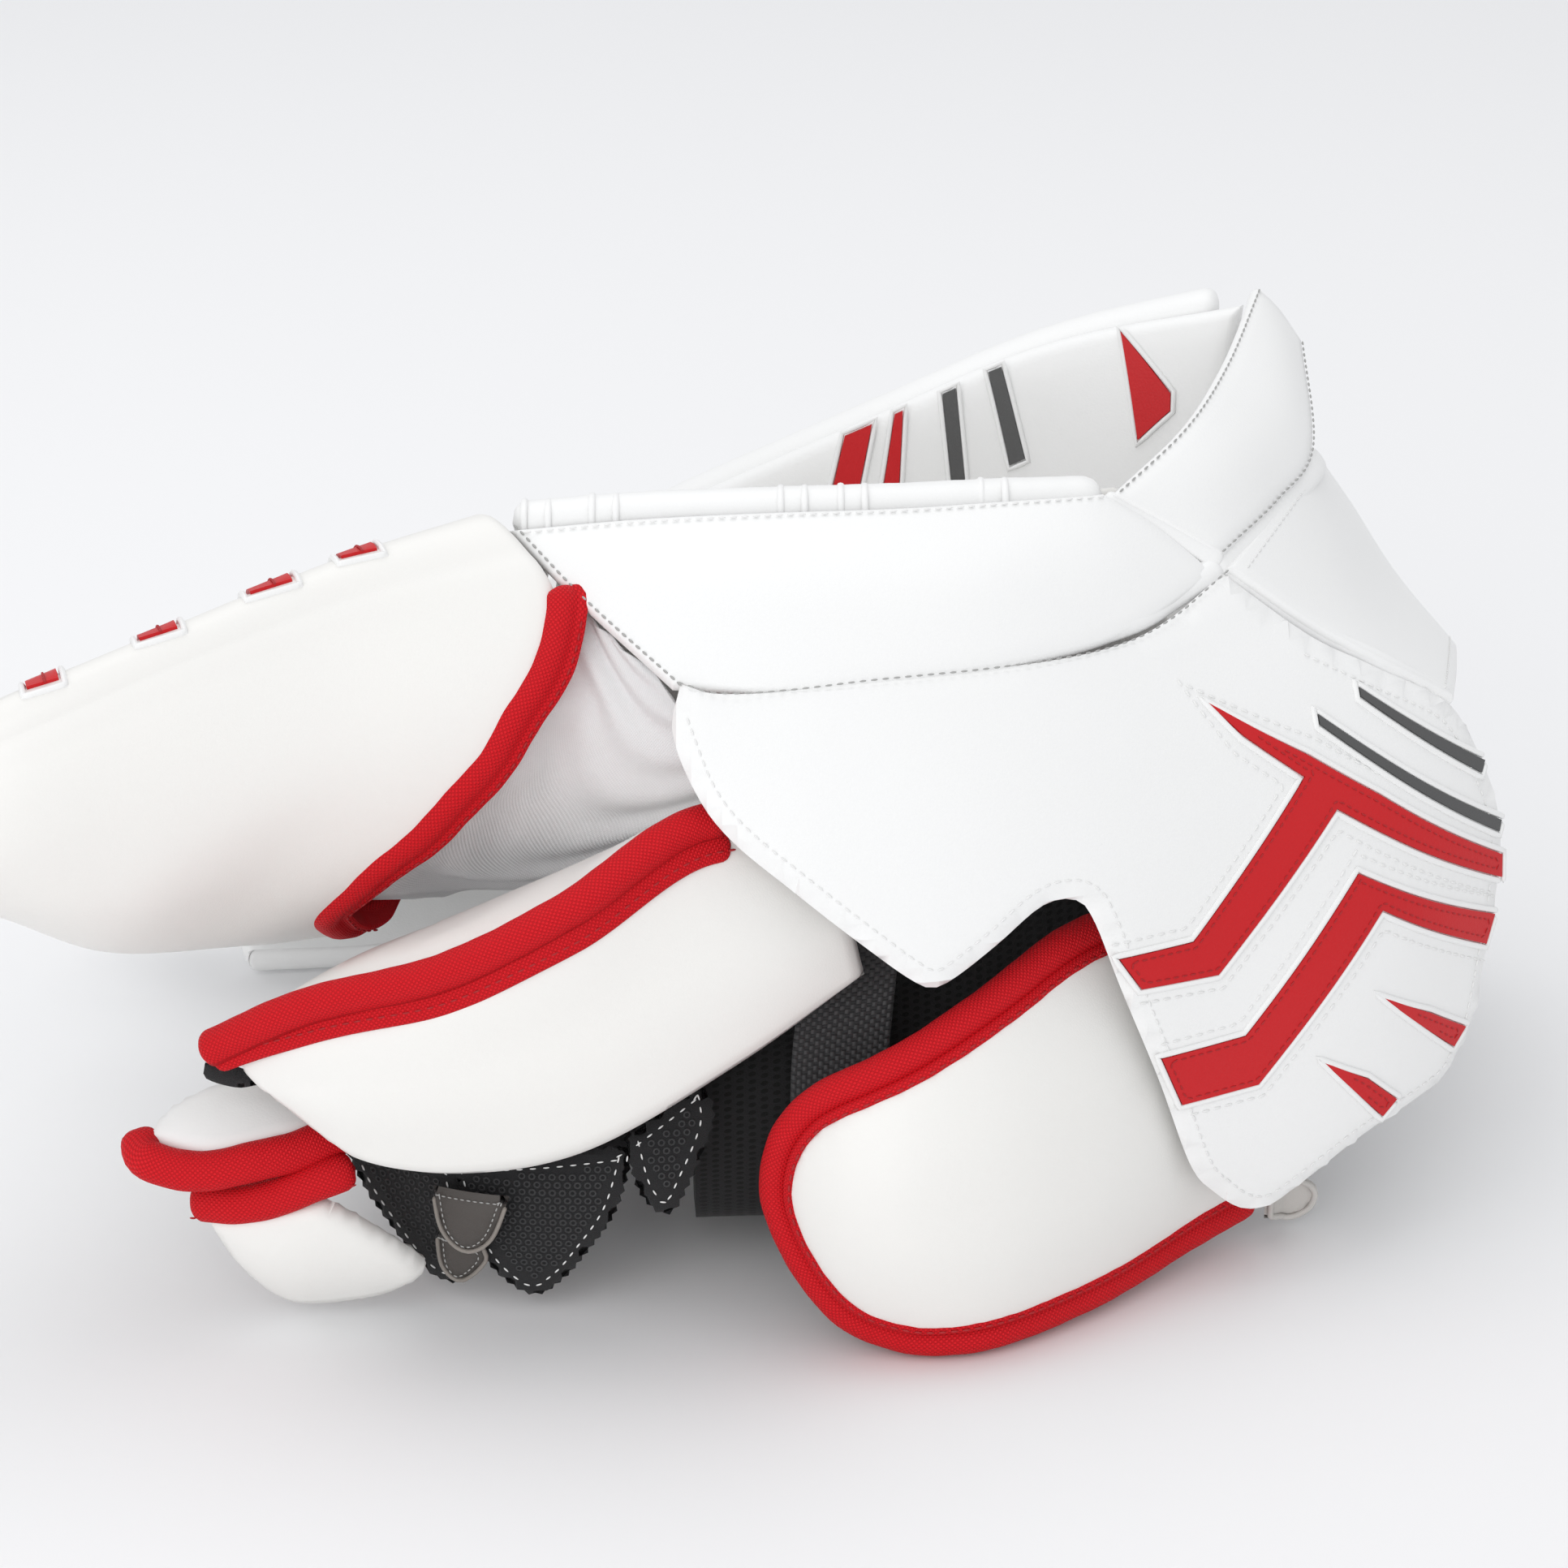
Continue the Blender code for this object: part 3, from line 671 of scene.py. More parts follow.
def finish(name, slot, colour, shade, roughness, family, bump, depth, settings=(), sheen=0.0, coat=0.0,
           mask="Cloud", spread=0.08, gloss=0.5):
    """A material: family is the shared group that gives its relief and its slow colour change."""
    mat = bpy.data.materials.new(name)
    mat.use_nodes = True
    tree = mat.node_tree
    shader = tree.nodes["Principled BSDF"]
    grain = add(tree, 'ShaderNodeGroup', settings, node_tree=GROUPS[family]).outputs
    mix = add(tree, 'ShaderNodeMix', ((6, (*colour, 1.0)), (7, (*shade, 1.0)), (0, grain[mask])),
              data_type='RGBA')
    rough = maths(tree, 'ADD', roughness - spread / 2, maths(tree, 'MULTIPLY', grain[mask], spread))
    relieved = add(tree, 'ShaderNodeBump', (("Strength", bump), ("Distance", depth),
                                            ("Height", grain["Height"])))
    for label, socket in (("Base Color", mix.outputs[2]), ("Roughness", rough),
                          ("Normal", relieved.outputs[0])):
        tree.links.new(socket, shader.inputs[label])
    for label, value in (("Sheen Weight", sheen), ("Coat Weight", coat), ("Coat Roughness", 0.25),
                         ("Specular IOR Level", gloss)):
        shader.inputs[label].default_value = value
    return mat


GROUPS = {"leather": leather_group(), "weave": weave_group(), "net": net_group()}

WHITE_LEATHER = finish(
    "white_leather", "white_leather", (0.86, 0.86, 0.855), (0.83, 0.83, 0.82), 0.44, "leather", 0.25,
    0.00022, coat=0.06)
WARM_LEATHER = finish(
    "warm_white_leather", "white_leather", (0.84, 0.83, 0.80), (0.80, 0.79, 0.765), 0.40, "leather", 0.22,
    0.0002, (("Pebbles", 1100.0),), coat=0.08)
PALM_LEATHER = finish(
    "palm_leather", "palm_leather", (0.80, 0.79, 0.765), (0.74, 0.73, 0.70), 0.62, "leather", 0.5, 0.0004,
    (("Pebbles", 700.0), ("Creases", 60.0)))
RED_LEATHER = finish(
    "red_leather", "red_leather", (0.58, 0.010, 0.014), (0.52, 0.007, 0.011), 0.40, "leather", 0.3, 0.00022,
    gloss=0.3)
RED_NYLON = finish(
    "red_woven_nylon", "red_binding", (0.68, 0.007, 0.014), (0.50, 0.004, 0.009), 0.62, "weave", 0.7,
    0.0003, (("Threads", 1500.0),), gloss=0.2, mask="Mask")
GREY_LEATHER = finish(
    "dark_grey_leather", "dark_grey_leather", (0.085, 0.085, 0.085), (0.065, 0.065, 0.065), 0.45, "leather",
    0.3, 0.0002)
WHITE_NYLON = finish(
    "white_nylon_lining", "white_nylon", (0.84, 0.84, 0.84), (0.78, 0.78, 0.785), 0.58, "weave", 0.4,
    0.0002, (("Threads", 1900.0),), sheen=0.05, mask="Mask")
BLACK_MESH = finish(
    "black_knitted_mesh", "black_mesh", (0.010, 0.010, 0.011), (0.003, 0.003, 0.003), 0.8, "net", 0.9,
    0.0006, sheen=0.05, mask="Hole")
BLACK_SUEDE = finish(
    "black_suede", "black_mesh", (0.008, 0.008, 0.009), (0.016, 0.016, 0.017), 0.9, "leather", 0.8, 0.0005,
    (("Pebbles", 2200.0), ("Creases", 300.0)), sheen=0.06)
TAUPE = finish(
    "taupe_leather", "taupe_leather", (0.075, 0.065, 0.058), (0.045, 0.039, 0.035), 0.6, "leather", 0.5,
    0.0003, (("Pebbles", 1400.0),), sheen=0.05)
PALE_TAUPE = finish(
    "pale_taupe_leather", "taupe_leather", (0.27, 0.24, 0.215), (0.20, 0.18, 0.16), 0.55, "leather", 0.5,
    0.0003, (("Pebbles", 1400.0),), sheen=0.05)
TAB_LEATHER = finish(
    "pale_tab_leather", "taupe_leather", (0.62, 0.60, 0.57), (0.52, 0.50, 0.475), 0.5, "leather", 0.4,
    0.0002, (("Pebbles", 1400.0),))
# Hole rims: real raised rings round the punched holes, coloured a little lighter than the black mesh as a
# painted glint on the hole edges.
GLINT_PAINTED_MESH_RIM = finish(
    "mesh_hole_rim_painted_glint", "black_mesh", (0.045, 0.045, 0.047), (0.03, 0.03, 0.031), 0.6, "leather", 0.4, 0.0001)
GREY_WEBBING = finish(
    "grey_webbing", "grey_webbing", (0.075, 0.075, 0.077), (0.04, 0.04, 0.042), 0.7, "weave", 0.8, 0.0005,
    (("Threads", 700.0),), mask="Mask")
LACE = finish(
    "white_lace", "white_nylon", (0.78, 0.78, 0.77), (0.66, 0.66, 0.65), 0.6, "leather", 0.6, 0.0004,
    (("Pebbles", 1500.0),))
THREAD = {
    "white": finish("white_thread", "white_nylon", (0.84, 0.84, 0.83), (0.76, 0.76, 0.75), 0.6, "leather",
                    0.4, 0.0001),
    "red": finish("red_thread", "red_binding", (0.42, 0.008, 0.012), (0.34, 0.005, 0.008), 0.6, "leather",
                  0.4, 0.0001),
    "grey": finish("grey_thread", "white_nylon", (0.42, 0.42, 0.41), (0.34, 0.34, 0.33), 0.6, "leather",
                   0.4, 0.0001)}


# ================================================================ pattern pieces

WING = relief((-40, 220), (0, 200), (
    (6, 4, 12, 32, 62, 118),
    (6, 4, 14, 33, 62, 118),
    (4, 2, 14, 38, 70, 128),
    (20, 22, 34, 62, 100, 150),
    (64, 62, 76, 116, 150, 190)))
WING_OUTLINE = (
    (-27, 178), (-29, 168), (-22, 154), (-13, 144), (3, 132), (20, 119), (33, 109), (39, 106), (45, 108),
    (56, 115), (68, 123), (77, 123), (82, 117), (89, 99), (100, 70), (110, 41), (117, 31), (125, 24),
    (133, 23), (141, 27), (160, 37), (182, 43), (187, 48), (192, 57), (196, 77), (199, 95), (199, 108),
    (194, 124), (183, 143), (162, 157), (143, 168), (119, 185), (103, 179), (87, 177), (56, 178),
    (24, 178), (-14, 176))
FLAP = relief((-8, 138), (0, 120), (
    (16, 5, 3, 21, 47, 70),
    (12, -3, 0, 18, 46, 70),
    (20, 5, 9, 29, 56, 80),
    (44, 28, 34, 54, 76, 94)))
FLAP_EDGE = (
    (128, 15), (110, 12), (92, 9), (64, 7), (44, 6.2), (32, 7), (19, 12), (9, 23), (1, 38), (-1, 50),
    (3, 64), (14, 76), (38, 88), (56, 96), (72, 102), (86, 104))
HOOD_RINGS = (
    ((-78, 90, 203), (-60, 68, 190), (-73, 50, 160), (-100, 46, 130), (-122, 58, 104), (-108, 84, 93),
     (-86, 104, 122), (-74, 107, 170), (-78, 90, 203)),
    ((-116, 72, 197), (-112, 54, 184), (-118, 40, 158), (-134, 40, 128), (-148, 52, 101), (-142, 80, 92),
     (-130, 98, 118), (-120, 94, 165), (-116, 72, 197)),
    ((-164, 46, 186), (-163, 32, 174), (-165, 24, 150), (-172, 26, 122), (-180, 44, 102), (-178, 72, 98),
     (-174, 86, 120), (-168, 74, 158), (-164, 46, 186)),
    ((-203, 26, 176), (-203, 14, 163), (-205, 10, 145), (-207, 18, 128), (-210, 36, 118), (-210, 60, 112),
     (-208, 68, 128), (-205, 52, 155), (-203, 26, 176)),
    ((-236, 16, 162), (-237, 9, 153), (-238, 7, 143), (-239, 14, 133), (-240, 28, 128), (-240, 42, 126),
     (-239, 48, 136), (-237, 34, 152), (-236, 16, 162)),
    ((-248, 22, 152), (-248, 18, 148), (-248, 17, 144), (-249, 21, 139), (-249, 28, 137), (-249, 34, 137),
     (-249, 36, 142), (-248, 30, 148), (-248, 22, 152)))
RINGS = loft(HOOD_RINGS, ring=True)


def HOOD_SKIN(u, v):
    """u runs from the mouth to the tip, v once round from the rim over the near side."""
    return RINGS(np.mod(v, 1.0), u)


HOOD_SKIN.step = HOOD_STEP


# ================================================================ cuff

def cuff():
    outline = smooth_outline(WING_OUTLINE, (0, 31), 3.0)
    leather_panel("cuff_wing_shell", cut_form(outline, 1.9), WING, BOARD, WHITE_LEATHER, PALM,
                  ("cuff_wing",))
    bands = {
        "cuff_band_upper": (((112, 160.5), (122, 151.5), (139, 138.5), (108, 106), (88, 106), (94, 97),
                             (115, 96),
                             (148, 129), (197.5, 94), (197.5, 100), (160, 129), (140, 143)), RED_LEATHER),
        "cuff_band_lower": (((154, 112), (123, 77), (100, 76), (106, 61), (127, 62), (161, 101), (193, 78),
                             (195.5, 85)), RED_LEATHER),
        "cuff_wedge_upper": (((161, 78), (184, 53), (187.5, 57), (176, 67)), RED_LEATHER),
        "cuff_wedge_lower": (((145, 64), (163, 42), (167, 45.5), (158, 55)), RED_LEATHER),
        "cuff_stripe_lower": (((143, 151.2), (143.5, 149), (196.5, 106.5), (197.2, 109)), GREY_LEATHER),
        "cuff_stripe_upper": (((155, 154), (155.5, 152), (191, 123.5), (192, 126)), GREY_LEATHER)}
    for name, (corners, material) in bands.items():
        form = cut_form(densify(corners, 4.0), 0, 4.0)
        leather_panel(name + "_inlay", form, WING, 1.4, material, PALM, (name,), top=0.75, radius=0)
        for number, run in enumerate(borders(corners, 0.9)):
            point, normal = with_normals(WING, run[:, 0], run[:, 1])
            sweep(f"{name}_edging_{number + 1}", point + normal * 0.2, normal, oval(*RIDGE), WHITE_LEATHER,
                  PALM)
        if material is RED_LEATHER:
            inner = densify(offset_line(corners, 1.5), 1.5)
            keep = within(inner, corners) & (outline_distance(inner, corners) > 1.2) & inside_wing(inner, 1.0)
            for run in runs(inner, keep):
                stitch(PALM, "red", on_surface(WING, run, 0.8), 2.6, 1.8, 0.5)
        if "band" in name:
            seam = densify(offset_line(corners, -4.0), 3.0)
            keep = inside_wing(seam)
            for run in runs(seam, keep):
                stitch(PALM, "white", on_surface(WING, run, 0.15))
    lobe = np.array(smooth_line(WING_OUTLINE[1:31], 3.0))
    inner = offset_line(lobe, 4.6, closed=False)
    stitch(PALM, "white", on_surface(WING, inner, 0.15), *FINE_SEAM)
    seam = smooth_line((WING_OUTLINE[0],) + tuple(reversed(WING_OUTLINE[31:])), 2.0)
    stitch(PALM, "grey", on_surface(WING, seam - np.array((0.0, 0.3)), 0.1), 3.0, 1.9, 0.6)
    top = loft((
        ((120, 102, 186), (143, 101, 169.5), (162, 103, 158.5), (184, 110, 144)),
        ((146.5, 160, 191), (155, 158, 176), (169, 156, 154), (190, 150, 134)),
        ((152, 214, 172), (164, 212, 158), (178, 208, 138), (196, 200, 118)),
        ((150, 246, 125), (164, 243, 112), (180, 238, 95), (198, 228, 80)),
        ((146, 250, 70), (162, 248, 60), (180, 243, 50), (198, 232, 40))))
    leather_panel("cuff_top_shell", grid_form((72, 245), 1.2), top, BOARD, WHITE_LEATHER, PALM,
                  ("cuff_top",))
    for u in (0.05, 0.95):
        stitch_run(PALM, "white", top, (u, (0.02, 0.98), 90), 0.1, 3.0, 2.0, 0.5)
    welt("heel_cuff_welt", ((117, 103, 184.5), (131, 126, 187.5), (141.5, 148, 190), (147.5, 163, 190.5),
                            (150, 180, 187)),
         (0.6, -0.4, 0.7), 4.2, 1.5, PALM)
    welt("cuff_top_welt", ((119, 104, 183), (142, 103, 167), (162, 105, 156), (182, 112, 142)),
         (0.3, -0.8, 0.5),
         3.4, 1.6, PALM)
    corner = loft((((147, 162, 191), (147.5, 164, 188.5)), ((148, 192, 197.5), (150, 189, 180)),
                   ((147.5, 221, 204), (151, 216, 170))))
    leather_panel("heel_corner_panel", grid_form((26, 60), 1.2), corner, 3.0, WHITE_LEATHER, PALM)
    side = loft((((131, 238, 209), (148, 222, 204)), ((134, 251, 184), (151, 217, 170)),
                 ((130, 260, 124), (149, 246, 122)), ((120, 250, 64), (146, 250, 72))))
    leather_panel("cuff_side_panel", grid_form((26, 150), 1.2), side, 3.0, WHITE_LEATHER, PALM)
    liner = smooth_outline((
        (-8, 152), (12, 132), (36, 114), (58, 122), (78, 131), (88, 117), (96, 99), (106, 72), (116, 42),
        (130, 30), (158, 43), (180, 50), (189, 78), (192, 106), (176, 138), (158, 149), (140, 160),
        (117, 172), (98, 168), (56, 166), (4, 165)), (0,), 4.0)
    leather_panel("cuff_lining", cut_form(liner, 1.0, 8.0), WING, 2.0, WHITE_NYLON, PALM, ("cuff_liner",),
                  top=-BOARD - 0.2)


def borders(corners, away):
    """Lines beside an inlay's sides, out to the edge of the wing."""
    line = densify(offset_line(corners, -away), 1.5)
    line = np.roll(line, -int(np.argmax(line[:, 0])), 0)
    return runs(line, inside_wing(line, -0.3))


def densify(points, spacing):
    """Points along a closed outline's straight sides, corners kept."""
    p = np.array(points, float)
    line = []
    for a, b in zip(p, np.roll(p, -1, 0)):
        count = max(int(np.linalg.norm(b - a) / spacing), 1)
        line += [a + (b - a) * k / count for k in range(count)]
    return np.array(line)


def inside_wing(places, margin=2.0):
    """Which places are on the wing, a margin from its edge."""
    far = outline_distance(places, WING_OUTLINE)
    return np.where(within(places, WING_OUTLINE), far, -far) > margin


def runs(line, keep):
    """The stretches of a line where keep is true."""
    found = [[]]
    for point, good in zip(line, keep):
        if good:
            found[-1].append(point)
        else:
            found.append([])
    return [np.array(stretch) for stretch in found if len(stretch) > 2]


# ================================================================ palm and pocket

SIDE_WALL = loft((
    ((-29, 44, 177), (0, 42, 175.6), (30, 46, 177), (60, 55, 177.6), (90, 73.4, 178), (117, 101, 184.5)),
    ((-54, 66, 191), (-20, 63, 194), (14, 65, 195), (48, 71, 195.5), (78, 85, 194.5), (101, 104, 197)),
    ((-73, 85, 204), (-40, 87, 206.5), (-5, 88, 208), (30, 91, 208), (60, 97, 207.5), (86, 104, 206))))
SIDE_RIM = ((-72, 95, 201), (-40, 97, 203), (-5, 98, 204), (30, 101, 204), (60, 107, 203), (85, 114, 201))
PALM_FACE = loft((
    ((-60, 112, 196), (-10, 112, 199), (40, 114, 199), (90, 126, 200)),
    ((-66, 124, 150), (-15, 124, 150), (40, 126, 152), (104, 142, 165)),
    ((-84, 146, 105), (-25, 148, 102), (38, 150, 106), (108, 160, 132)),
    ((-105, 186, 78), (-40, 190, 76), (32, 190, 82), (112, 188, 120))))


def palm_and_pocket():
    wall = leather_panel("side_wall_panel", grid_form((158, 50), 1.6), SIDE_WALL, WALL, WHITE_LEATHER,
                         PALM, ("side_wall",), crown=1.2, reach=22.0)
    plump(wall, 1.0)
    welt("side_wall_welt", ((-29, 49, 178), (0, 47.5, 176.5), (30, 51, 178), (60, 60, 178.5), (90, 78, 179),
                            (104, 92, 181), (117, 104, 185)), (0.1, -0.8, 0.6), 3.6, 2.0, PALM)
    welt("side_heel_welt", ((86, 107, 203.5), (94, 106, 199), (102, 106, 195), (110, 105.5, 190.5),
                            (118, 105, 186)),
         (0.5, -0.6, 0.6), 3.4, 1.6, PALM)
    stitch_run(PALM, "white", SIDE_WALL, ((0.02, 0.98), 0.955, 160), 0.3, *FINE_SEAM)
    stitch_run(PALM, "grey", SIDE_WALL, (0.012, (0.0, 1.0), 60), 0.0, 2.6, 1.8, 0.7)
    rim = smooth_line(SIDE_RIM, 2.0)
    up = np.tile((0.0, -0.3, 0.95), (len(rim), 1))
    roll = sweep("side_rim_roll", rim, up, oval(RIM_R + 1.0, RIM_R), WHITE_LEATHER, PALM, ("side_rim",),
                 ripple=0.012)
    for x in (-66, -47, 2, 18, 56):
        groove_tab(x, rim)
    heel = loft((
        ((88.5, 106, 205.5), (103.5, 105, 197), (118.5, 104, 188)),
        ((109, 136, 213), (124, 134, 204), (136, 134, 191.5)),
        ((123, 175, 217), (138, 168, 207), (148, 164, 195)),
        ((136, 221, 223), (142, 221, 217), (149, 220, 207))))
    leather_panel("heel_panel_leather", grid_form((38, 125), 1.4), heel, WALL, WHITE_LEATHER, PALM,
                  ("heel_panel",), crown=0.8, reach=16.0)
    for u in (0.03, 0.97):
        stitch_run(PALM, "grey", heel, (u, (0.02, 0.98), 70), 0.1, *FINE_SEAM)
    palm = leather_panel("palm_leather_face", grid_form((180, 150), 2.4, 5.0), PALM_FACE, WALL,
                         PALM_LEATHER, PALM, ("palm_face",), crown=1.0, reach=30.0)
    for u in (0.30, 0.52, 0.74):
        stitch_run(PALM, "grey", PALM_FACE, (u, (0.03, 0.97), 120), 1.1)
    plain_material("side_wall_backing", WHITE_NYLON)
    pocket()
    gusset()


def groove_tab(x, rim):
    """A short leather tab sewn over the rim, seen as two grooves."""
    centre = rim[int(np.argmin(np.abs(rim[:, 0] - x)))]
    turn = np.radians(np.linspace(-10, 200, 18))
    out = np.stack((0 * turn, -np.cos(turn) * (RIM_R + 1.3), np.sin(turn) * (RIM_R + 0.15)), 1)
    for number, aside in enumerate((-3.2, 3.2)):
        sweep(f"rim_tab_seam_{x + 100}_{number}", centre + out + (aside, 0.0, 0.0), out, oval(0.9, 0.5, 8),
              WHITE_LEATHER, PALM)


def pocket():
    """The laced pocket between thumb and fingers: crossing laces in a sling."""
    web = loft((
        ((-170, 90, 140), (-122, 106, 152), (-64, 115, 186)),
        ((-174, 108, 110), (-126, 122, 120), (-71, 127, 150)),
        ((-178, 145, 84), (-132, 150, 90), (-90, 150, 103)),
        ((-168, 192, 58), (-140, 194, 64), (-111, 190, 75))))
    lines = []
    along = np.linspace(0, 1, 40)
    for k in range(-6, 7):
        for way in (1, -1):
            u = k / 6.0 + along if way == 1 else k / 6.0 + 1 - along
            keep = (u >= 0) & (u <= 1)
            if keep.sum() > 4:
                height = 0.9 * np.sin(along[keep] * math.pi * 8 + (0 if way == 1 else math.pi))
                point, normal = with_normals(web, u[keep], along[keep])
                lines.append(point + normal * height[:, None])
    for u, v in (((0.0, 0.0), (0.0, 1.0)), ((1.0, 1.0), (0.0, 1.0)), ((0.0, 1.0), (0.0, 0.0)),
                 ((0.0, 1.0), (1.0, 1.0))):
        lines.append(web(np.linspace(*u, 40), np.linspace(*v, 40)))
    net = grown("pocket_laces", line_object(lines), lace_tree(), {"Radius": 1.4}, LACE, None, ("pocket_web",))
    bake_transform(net)


def placed(point):
    return tuple(float(c) for c in (np.array(point, float) + SHIFT) * MM)


def gusset():
    """Nylon lining between the thumb's mouth and the palm, drawn into folds, sewn inside the mouth."""
    cloth = loft((
        ((-60, 77, 190), (-54, 71, 186), (-46, 64, 182), (-34, 56, 175)),
        ((-67, 58, 162), (-54, 62, 161), (-38, 56, 160), (-20, 44, 158)),
        ((-95, 54, 130), (-70, 64, 132), (-40, 58, 136), (-12, 48, 140)),
        ((-114, 66, 105), (-88, 76, 106), (-56, 74, 110), (-26, 64, 118)),
        ((-104, 87, 96), (-84, 90, 95), (-56, 86, 96), (-28, 78, 100))))

    def folded(u, v):
        point, normal = with_normals(cloth, u, v, 0.02)
        fan = 11 * v + 1.6 * np.sin(5 * u + 2.5 * v)
        fold = 1.5 * np.sin(fan * 1.7) * np.clip(1 - u, 0, 1) ** 0.6 + 0.9 * np.sin(fan * 3.9 + 4 * u)
        return point + normal * (fold * np.clip(np.minimum(u, 1 - u) * 9, 0, 1))[:, None]
    folded.step = LOFT_STEP
    form = grid_form((95, 118), 0.6, 1.6)
    points, faces, uv = closed_up(*two_sided(form, folded, lambda d: 0.5 * arc(d / 0.6),
                                             lambda d: -0.5 * arc(d / 0.6)))
    lining = build("gusset_lining", points, faces, uv, WHITE_NYLON, None, ("gusset",), sharp=80)
    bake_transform(lining)


def plain_material(node, material):
    """Give a CAD node that stays its finish."""
    obj = bpy.data.objects[node]
    obj.data.materials.clear()
    obj.data.materials.append(material)


def finger_side():
    face = loft((
        ((-168, 208, 40), (-108, 209, 58), (-44, 209, 72), (32, 209, 84), (82, 208, 104), (118, 202, 128)),
        ((-185, 222, 46), (-112, 226, 76), (-48, 228, 102), (28, 226, 128), (78, 226, 152), (124, 214, 172)),
        ((-195, 228, 56), (-112, 236, 100), (-48, 238, 140), (25, 236, 176), (78, 238, 199),
         (131, 226, 215))))
    wall = leather_panel("finger_wall_pad", grid_form((345, 85), 3.5, 5.0), face, FOAM, WHITE_LEATHER,
                         PALM, ("finger_wall",), crown=0.6, reach=16.0)
    rim = smooth_line(((-190, 243, 51), (-112, 250, 95), (-48, 252, 135), (25, 250, 171), (78, 252, 194),
                       (126, 243, 210)), 3.0)
    roll = sweep("finger_rim_roll", rim, np.tile((-0.3, 0.0, 0.95), (len(rim), 1)), oval(7.0, 4.5),
                 WHITE_LEATHER,
                 PALM, ("finger_rim",), ripple=0.012)
    shell = loft((
        ((96, 218, -5), (30, 220, -5), (-45, 224, -5), (-105, 224, -5), (-160, 220, -3)),
        ((118, 250, 60), (40, 262, 40), (-40, 266, 30), (-108, 260, 22), (-176, 248, 20)),
        ((128, 262, 124), (50, 272, 96), (-42, 274, 70), (-110, 268, 46), (-188, 256, 30)),
        ((134, 252, 188), (60, 264, 170), (-46, 266, 112), (-112, 263, 76), (-196, 254, 38))))

    def grounded(u, v):
        point = shell(u, v)
        point[:, 2] = np.maximum(point[:, 2], 1.0)
        return point
    grounded.step = LOFT_STEP
    back = leather_panel("finger_shell_pad", grid_form((300, 190), 3.5, 5.0, ((0.0, 1.0), (0.035, 1.0))),
                         grounded, FOAM, WHITE_LEATHER, PALM, ("finger_shell",), crown=0.0, reach=20.0)
    for vert in back.data.vertices:
        vert.co.z = max(vert.co.z, 0.2 * MM)
    for u in (0.25, 0.48, 0.70):
        stitch_run(PALM, "grey", shell, (u, (0.2, 0.98), 120), 0.1)
    strips = {
        "wall_red_stripe_1": (((0.55, 0.66), (0.575, 0.66), (0.602, 0.985), (0.578, 0.985)), RED_LEATHER),
        "wall_red_stripe_2": (((0.605, 0.72), (0.622, 0.70), (0.632, 0.985), (0.624, 0.985)), RED_LEATHER),
        "wall_grey_stripe_1": (((0.682, 0.66), (0.697, 0.66), (0.689, 0.98), (0.674, 0.98)), GREY_LEATHER),
        "wall_grey_stripe_2": (((0.752, 0.68), (0.770, 0.68), (0.742, 0.985), (0.727, 0.985)), GREY_LEATHER),
        "wall_wedge": (((0.905, 0.63), (0.94, 0.70), (0.938, 0.755), (0.875, 0.985)), RED_LEATHER)}
    for name, (corners, material) in strips.items():
        outline = densify(np.array(corners) * 100, 2.0)
        place, faces, edge, uv = cut_form(outline, 0, 2.0)
        leather_panel(name + "_inlay", (place / 100, faces, edge * 3, uv * 3), face, 1.4, material, PALM,
                      (name,), top=1.6, radius=0)
        ring = densify(offset_line(np.array(corners) * (3.45, 0.85), -0.01), 0.03) / (3.45, 0.85)
        point, normal = with_normals(face, ring[:, 0], ring[:, 1])
        sweep(name + "_edging", point + normal * 0.9, normal, oval(0.8, 0.8, 8), WHITE_LEATHER, PALM,
              closed=True)


# ================================================================ hand

def ring_tube(name, rows, material, body, nodes, thickness):
    """A tube through closed rings, open at both ends, with a wall inwards."""
    surface = loft(rows, ring=True)
    nu, nv = 64, 40
    u = np.tile(np.linspace(0, 1, nu, endpoint=False), nv)
    v = np.repeat(np.linspace(0, 1, nv), nu)

    def wrapped(a, b):
        return surface(np.mod(a, 1.0), b)
    point, normal = with_normals(wrapped, u, v, 0.005)
    points = np.vstack((point, point - normal * thickness))
    total = nu * nv
    faces = []
    for j in range(nv - 1):
        for i in range(nu):
            k = (i + 1) % nu
            a, b, c, d = j * nu + i, j * nu + k, (j + 1) * nu + k, (j + 1) * nu + i
            faces += [(a, b, c, d), (d + total, c + total, b + total, a + total)]
    for j, flip in ((0, True), (nv - 1, False)):
        for i in range(nu):
            a, b = j * nu + i, j * nu + (i + 1) % nu
            quad = (a, b, b + total, a + total)
            faces.append(tuple(reversed(quad)) if flip else quad)
    uv = np.stack((u * 420, v * 140), 1)
    return build(name, points, faces, np.vstack((uv, uv)), material, body, nodes)


